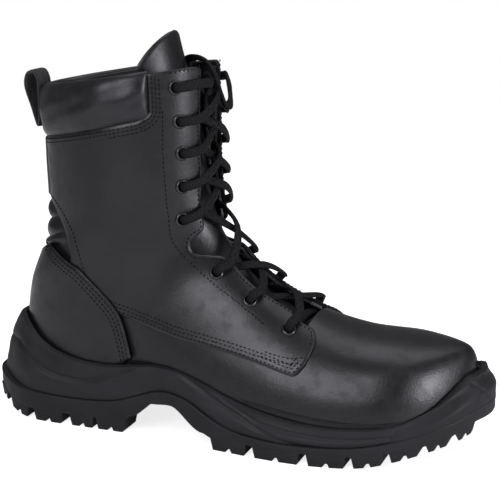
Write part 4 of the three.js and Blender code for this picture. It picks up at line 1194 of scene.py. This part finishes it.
def tongue_place(across, along):
    f = across * 2 - 1
    s = mix(TONGUE_FOOT, TONGUE_TOP, np.minimum(along / FOOT_SHARE, 1))
    lean = TOP_LEAN * ease(s, 10.2, TONGUE_TOP) + 1 - ease(s, TONGUE_FOOT, 4.8)
    lower = skin(s, f * TONGUE_EDGE, TONGUE_OUT - lean)
    top = np.full_like(s, TONGUE_TOP)
    foot = skin(top, 0 * f, TONGUE_OUT - TOP_LEAN)
    wing = skin(top, 0 * f + TONGUE_EDGE, TONGUE_OUT - TOP_LEAN)
    half = wing[:, 1] - MIDDLE_SHIFT[1]
    bend = (foot[:, 0] - wing[:, 0]) / half ** 2
    up = np.clip((along - FOOT_SHARE) / (1 - FOOT_SHARE), 0, 1)
    wide = half * (1 + TIP_SPREAD * ease(up, 0.2, 0.55))
    y = wide * np.sqrt(np.clip(1 - up ** 1.7 * 0.995, 0, 1)) * f
    x = foot[:, 0] - TIP_LEAN * up ** 0.8 - bend * y * y
    z = foot[:, 2] + TIP_RISE * up - 0.004 * y * y * (1 - up)
    tip = np.stack([x, y + MIDDLE_SHIFT[1], z], -1)
    blend = ease(along, FOOT_SHARE - 0.03, FOOT_SHARE + 0.02)[:, None]
    return mix(lower, tip, np.where(along[:, None] > FOOT_SHARE, np.maximum(blend, 0.6), 0))


tongue_mesh = grid(48, 200, tongue_place)
bmesh.ops.remove_doubles(tongue_mesh, verts=tongue_mesh.verts, dist=1e-5)
roll_edges(tongue_mesh, 1.0, 2.6)
tongue = thicken(object_from(tongue_mesh, "tongue_leather", soft_leather), 3.0)
settle(tongue, "soft_leather", "tongue", "tongue_tip", body=None)
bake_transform(tongue)


# %% [markdown]
# ## Eyelets, lace and pull loop
# An eyelet is round, so its profile is spun. The lace follows one route through all sixteen eyelets: a
# list of places on the last, joined by a curve that makes no loops between close points. Its section is
# a flat oval that keeps its broad side to the leather.

# %% Eyelets
EYELET_PROFILE = [
    (3.1, BARREL_IN), (2.8, BARREL_IN + 0.4), (2.8, 0.7), (2.95, 1.1), (3.25, 1.3), (3.6, 1.2),
    (3.95, 0.9), (4.2, 0.45), (4.22, 0.2), (3.9, 0.12), (3.3, 0.1), (3.15, -0.1), (3.15, BARREL_IN + 0.2),
]
for side, word in ((-1, "outer"), (1, "inner")):
    for index in range(len(EYELETS)):
        bm = bmesh.new()
        profile = [bm.verts.new((r * MM, 0, z * MM)) for r, z in EYELET_PROFILE]
        edges = [bm.edges.new(pair) for pair in zip(profile, profile[1:] + profile[:1])]
        bmesh.ops.spin(
            bm, geom=profile + edges, cent=(0, 0, 0), axis=(0, 0, 1), angle=math.tau, steps=32,
            use_merge=True,
        )
        bmesh.ops.recalc_face_normals(bm, faces=bm.faces)
        bmesh.ops.transform(bm, matrix=eyelet_frame(index, side), verts=bm.verts)
        name = f"eyelet_{word}_{index + 1}"
        settle(shade(object_from(bm, f"ring_{word}_{index + 1}", enamel), 45), "eyelet_enamel", name)


# %% The lace's route
def lace_at(index, side, lift, towards_edge=0.0):
    s = eyelet_s[index]
    u = side * mix(eyelet_u[index], float(facing_edge(s)), towards_edge)
    return skin(s, u, lift), normal(s, u)


def through_eyelet(index, side):
    return [
        lace_at(index, side, LACE_INSIDE, 0.26), lace_at(index, side, BARREL_IN + 0.1, 0.01),
        lace_at(index, side, FLANGE + GAP + 0.4, 0.01), lace_at(index, side, LACE_OUTSIDE + 0.5, 0.22),
    ]


def crossing(low, side, over):
    top = low - 1
    middle = (lace_at(low, side, 0, 1)[0] + lace_at(top, -side, 0, 1)[0]) / 2 - MIDDLE_SHIFT
    s, _ = locate(middle[0], middle[2])
    sunk = (LACE_INSIDE + LACE_OUTSIDE) / 2 + 2 * GAP
    apart = LACE_CORE / 2 + GAP
    lift = sunk + apart if over else sunk - apart
    return [
        lace_at(low, side, LACE_OUTSIDE, 0.8), (skin(s, 0, lift), normal(s, 0)),
        lace_at(top, -side, LACE_INSIDE, 0.9), *through_eyelet(top, -side),
    ]


def half_lace(side):
    last = len(EYELETS) - 1
    found = [
        (skin(eyelet_s[last], side * 0.03, LACE_INSIDE), normal(eyelet_s[last], 0)),
        lace_at(last, side, LACE_INSIDE, 0.9), *through_eyelet(last, side),
    ]
    for index in range(last, 0, -1):
        found += crossing(index, -side if (last - index) % 2 else side, side < 0)
    return [*found, lace_at(0, -side if last % 2 else side, LACE_OUTSIDE, 0.8)]


def free_end(points, face):
    return [(np.array(point, float) + MIDDLE_SHIFT, np.array(face, float)) for point in points]


OUTER_END = free_end([(-9.5, -9, 203.5), (-13.5, -5, 199.5), (-16, -1.5, 192), (-15.6, -0.5, 178)], (1, 0, 0))
INNER_END = free_end([
    (-6.5, 12, 200), (-4.5, 8, 191), (-5, 3.5, 189), (-8, 2, 197), (-12.5, 5, 207), (-20, 11, 213.5),
    (-29, 18, 215), (-37, 23.5, 213), (-43, 27, 207), (-46, 27, 199), (-46, 26, 192),
], (0.5, 0.4, 0.75))
route = [*OUTER_END[::-1], *half_lace(1)[::-1], *half_lace(-1), *INNER_END]


# %% A curve without loops, and a flat oval swept along it
def taut_curve(points, per_span):
    """A centripetal curve through points, which makes no loop where two of them are close."""
    p = np.vstack([2 * points[0] - points[1], points, 2 * points[-1] - points[-2]])
    found = []
    for i in range(len(points) - 1):
        a, b, c, d = p[i:i + 4]
        t0 = 0.0
        t1, t2, t3 = np.cumsum([np.sqrt(np.linalg.norm(y - x)) + 1e-9 for x, y in ((a, b), (b, c), (c, d))])
        t = np.linspace(t1, t2, per_span, endpoint=False)[:, None]
        ab = (t1 - t) / (t1 - t0) * a + (t - t0) / (t1 - t0) * b
        bc = (t2 - t) / (t2 - t1) * b + (t - t1) / (t2 - t1) * c
        cd = (t3 - t) / (t3 - t2) * c + (t - t2) / (t3 - t2) * d
        abc = (t2 - t) / (t2 - t0) * ab + (t - t0) / (t2 - t0) * bc
        bcd = (t3 - t) / (t3 - t1) * bc + (t - t1) / (t3 - t1) * cd
        found.append((t2 - t) / (t2 - t1) * abc + (t - t1) / (t2 - t1) * bcd)
    return np.vstack([*found, points[-1:]])


def swept_oval(points, faces, width, thickness, around=14):
    """Rings of an oval whose short axis turns towards faces."""
    along = np.gradient(points, axis=0)
    along /= np.linalg.norm(along, axis=1, keepdims=True)
    broad = np.cross(along, faces)
    size = np.linalg.norm(broad, axis=1, keepdims=True)
    broad = broad / np.maximum(size, 1e-6)
    for i in range(1, len(broad)):
        if size[i, 0] < 0.35 or broad[i] @ broad[i - 1] < 0:
            kept = broad[i - 1] - along[i] * (broad[i - 1] @ along[i])
            kept /= np.linalg.norm(kept)
            turned = broad[i] if broad[i] @ kept > 0 else -broad[i]
            broad[i] = kept if size[i, 0] < 0.35 else turned
    for _ in range(6):
        broad[1:-1] = (broad[:-2] + 2 * broad[1:-1] + broad[2:]) / 4
    broad -= along * (broad * along).sum(1, keepdims=True)
    broad /= np.linalg.norm(broad, axis=1, keepdims=True)
    thin = np.cross(along, broad)
    angle = np.arange(around) / around * math.tau
    flat = np.cos(angle)[None, :, None] * broad[:, None] * width / 2
    return points[:, None] + flat + np.sin(angle)[None, :, None] * thin[:, None] * thickness / 2


LACE_WIDTH = 5.4
LACE_THICKNESS = 2.6
LACE_SPANS = 7
places = np.array([point for point, _ in route])
centre = taut_curve(places, LACE_SPANS)
faces = np.array([face for _, face in route])
at = np.arange(len(centre)) / LACE_SPANS
faces = np.stack([np.interp(at, np.arange(len(faces)), faces[:, k]) for k in range(3)], -1)
lace_length = np.linalg.norm(np.diff(centre, axis=0), axis=1).sum()
rings = swept_oval(centre, faces, LACE_WIDTH, LACE_THICKNESS)
lace = object_from(wrapped(rings, wrap_rows=False), "lace_braid", braid)
settle(lace, "lace_cord", "lace")
print("the lace is", round(lace_length), "mm long")

# %% Pull loop: a band of webbing, folded over into a closed loop; no stitches hold its foot
LOOP_LINE = curve([
    (-120.6, 174), (-124.5, 185), (-128.4, 197), (-127.2, 204.3), (-122.8, 205.6), (-120, 200), (-119.7, 188),
], per_span=12, closed=True)
WEBBING = 2.0
WEBBING_WIDTH = 16.0


def loop_rings():
    x, z = LOOP_LINE.T
    ahead = np.roll(LOOP_LINE, -1, axis=0) - np.roll(LOOP_LINE, 1, axis=0)
    ahead /= np.linalg.norm(ahead, axis=1, keepdims=True)
    angle = np.arange(20) / 20 * math.tau
    across = WEBBING_WIDTH / 2 * np.sign(np.cos(angle)) * np.abs(np.cos(angle)) ** 0.4
    proud = WEBBING / 2 * np.sign(np.sin(angle)) * np.abs(np.sin(angle)) ** 0.6
    px = x[:, None] - ahead[:, 1:] * proud
    pz = z[:, None] + ahead[:, :1] * proud
    return np.stack([px, np.broadcast_to(across, px.shape), pz], -1) + MIDDLE_SHIFT


pull = object_from(wrapped(loop_rings()), "pull_tab", webbing)
settle(pull, "webbing", "pull_loop", body=None)
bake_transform(pull)

# %% [markdown]
# ## Stitching
# Each seam is sewn with waxed thread in one to three rows. A stitch is a small ball, stretched along its
# row. Most rows are lines of the pattern moved in from the edge, so they follow every curve of it.


# %% Stitches
def sew(bm, path, lift, sides=(-1, 1), pitch=2.6, length=2.0, width=0.8):
    s, u = path
    places = outside(s, u)
    far = np.concatenate([[0], np.cumsum(np.linalg.norm(np.diff(places, axis=0), axis=1))])
    stops = np.arange(pitch / 2, far[-1], pitch)
    s, u = np.interp(stops, far, s), np.interp(stops, far, u)
    for side in sides:
        spots = skin(s, side * u, lift)
        ahead = np.gradient(spots, axis=0)
        for spot, forward, up in zip(spots, ahead, normal(s, side * u)):
            forward = Vector(forward).normalized()
            up = Vector(up)
            aside = up.cross(forward).normalized()
            turn = Matrix((forward * length / 2, aside * width / 2, up * width / 2)).transposed()
            shape = Matrix.Translation(Vector(spot) * MM) @ (turn * MM).to_4x4()
            bmesh.ops.create_icosphere(bm, subdivisions=1, radius=1, matrix=shape)


def sewn(name, rows, **choices):
    """rows is a list of (line, lift)."""
    bm = bmesh.new()
    for path, lift in rows:
        sew(bm, path, lift, **choices)
    return settle(object_from(bm, name, thread), "leather")


# %% The rows of stitches
STAY_LINE = [(-29, 191), (-29, 167), (-28, 146), (-27, 131), (-24, 113), (-7, 96), (12, 84), (31, 72)]
corner_u = np.linspace(COLLAR_FRONT + COLLAR_CORNER[1], COLLAR_FRONT, 12)
corner_share = 1 - (corner_u - COLLAR_FRONT) / COLLAR_CORNER[1]
corner_s = COLLAR_BOTTOM + COLLAR_CORNER[0] * (1 - np.sqrt(np.maximum(1 - corner_share ** 2, 0)))
collar_seam = (
    np.concatenate([np.full(60, COLLAR_BOTTOM), corner_s, np.linspace(COLLAR_BOTTOM + 0.14, 11.95, 20)]),
    np.concatenate([np.linspace(0.95, 0.4, 60), corner_u, np.full(20, COLLAR_FRONT)]),
)
front_of_seam = (collar_seam[0][50:], collar_seam[1][50:])
top_row = (np.full(30, 11.955), np.linspace(float(facing_edge(11.9)) + 0.04, COLLAR_FRONT - 0.07, 30))
TAB_STITCHES = [
    [(31, 56.5), (38, 55), (47, 53.8), (54, 54.5)],
    [(33, 59), (39, 57.6), (48, 56.4), (55, 57.2)],
]
low_seam = line(QUARTER_LOW_EDGE)
front_seam = line(FACING_EDGE)
heel_seam = line(COUNTER_EDGE)
tendon_seam = line(ACHILLES_EDGE)
SEW_LIFT = 0.05
sewn("quarter_stitches", [
    *[(moved(low_seam, offset), SEW_LIFT) for offset in (1.8, 3.9, 6.0)],
    (moved(front_seam, 2.2), SEW_LIFT),
    (line(STAY_LINE), SEW_LIFT),
    (moved(collar_seam, 1.8), SEW_LIFT),
    (moved(collar_seam, 3.9), SEW_LIFT),
    (moved(front_of_seam, 6.0), SEW_LIFT),
    (top_row, SEW_LIFT),
    *[(line(row), SEW_LIFT) for row in TAB_STITCHES],
    (moved(tendon_seam, -1.8), SEW_LIFT),
])
sewn("heel_stitches", [(moved(heel_seam, offset), POCKET_OUT + SEW_LIFT) for offset in (1.8, 4.2, 6.6)])

# %% [markdown]
# ## Inside
# The lining, the footbed and the reinforcements are mostly hidden. The shaft lining shows over the
# collar, so it is made smooth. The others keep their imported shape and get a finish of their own.

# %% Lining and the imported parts
settle(panel(
    "shaft_lining_mesh", np.linspace(7.65, TOP, 60), [(level(0.31), sole_line, 60)],
    LINING_OUT, 1.8, lining, roll=(0.2, 1.0),
), "lining_cloth", "shaft_lining")

PACKED_FINISHES = {
    "puncture_plate": steel, "toe_cap": steel, "insole_board": fibre_board, "heel_stiffener": fibre_board,
    "footbed": lining, "vamp_lining": lining, "ankle_padding": foam_padding,
    "facing_stay_outer": inner_leather, "facing_stay_inner": inner_leather,
    "aglet_outer": aglet_film, "aglet_inner": aglet_film,
}
for name, material in PACKED_FINISHES.items():
    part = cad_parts[name]
    part.data.materials.clear()
    part.data.materials.append(material)
print(len(PACKED_FINISHES), "packed parts keep their shape")
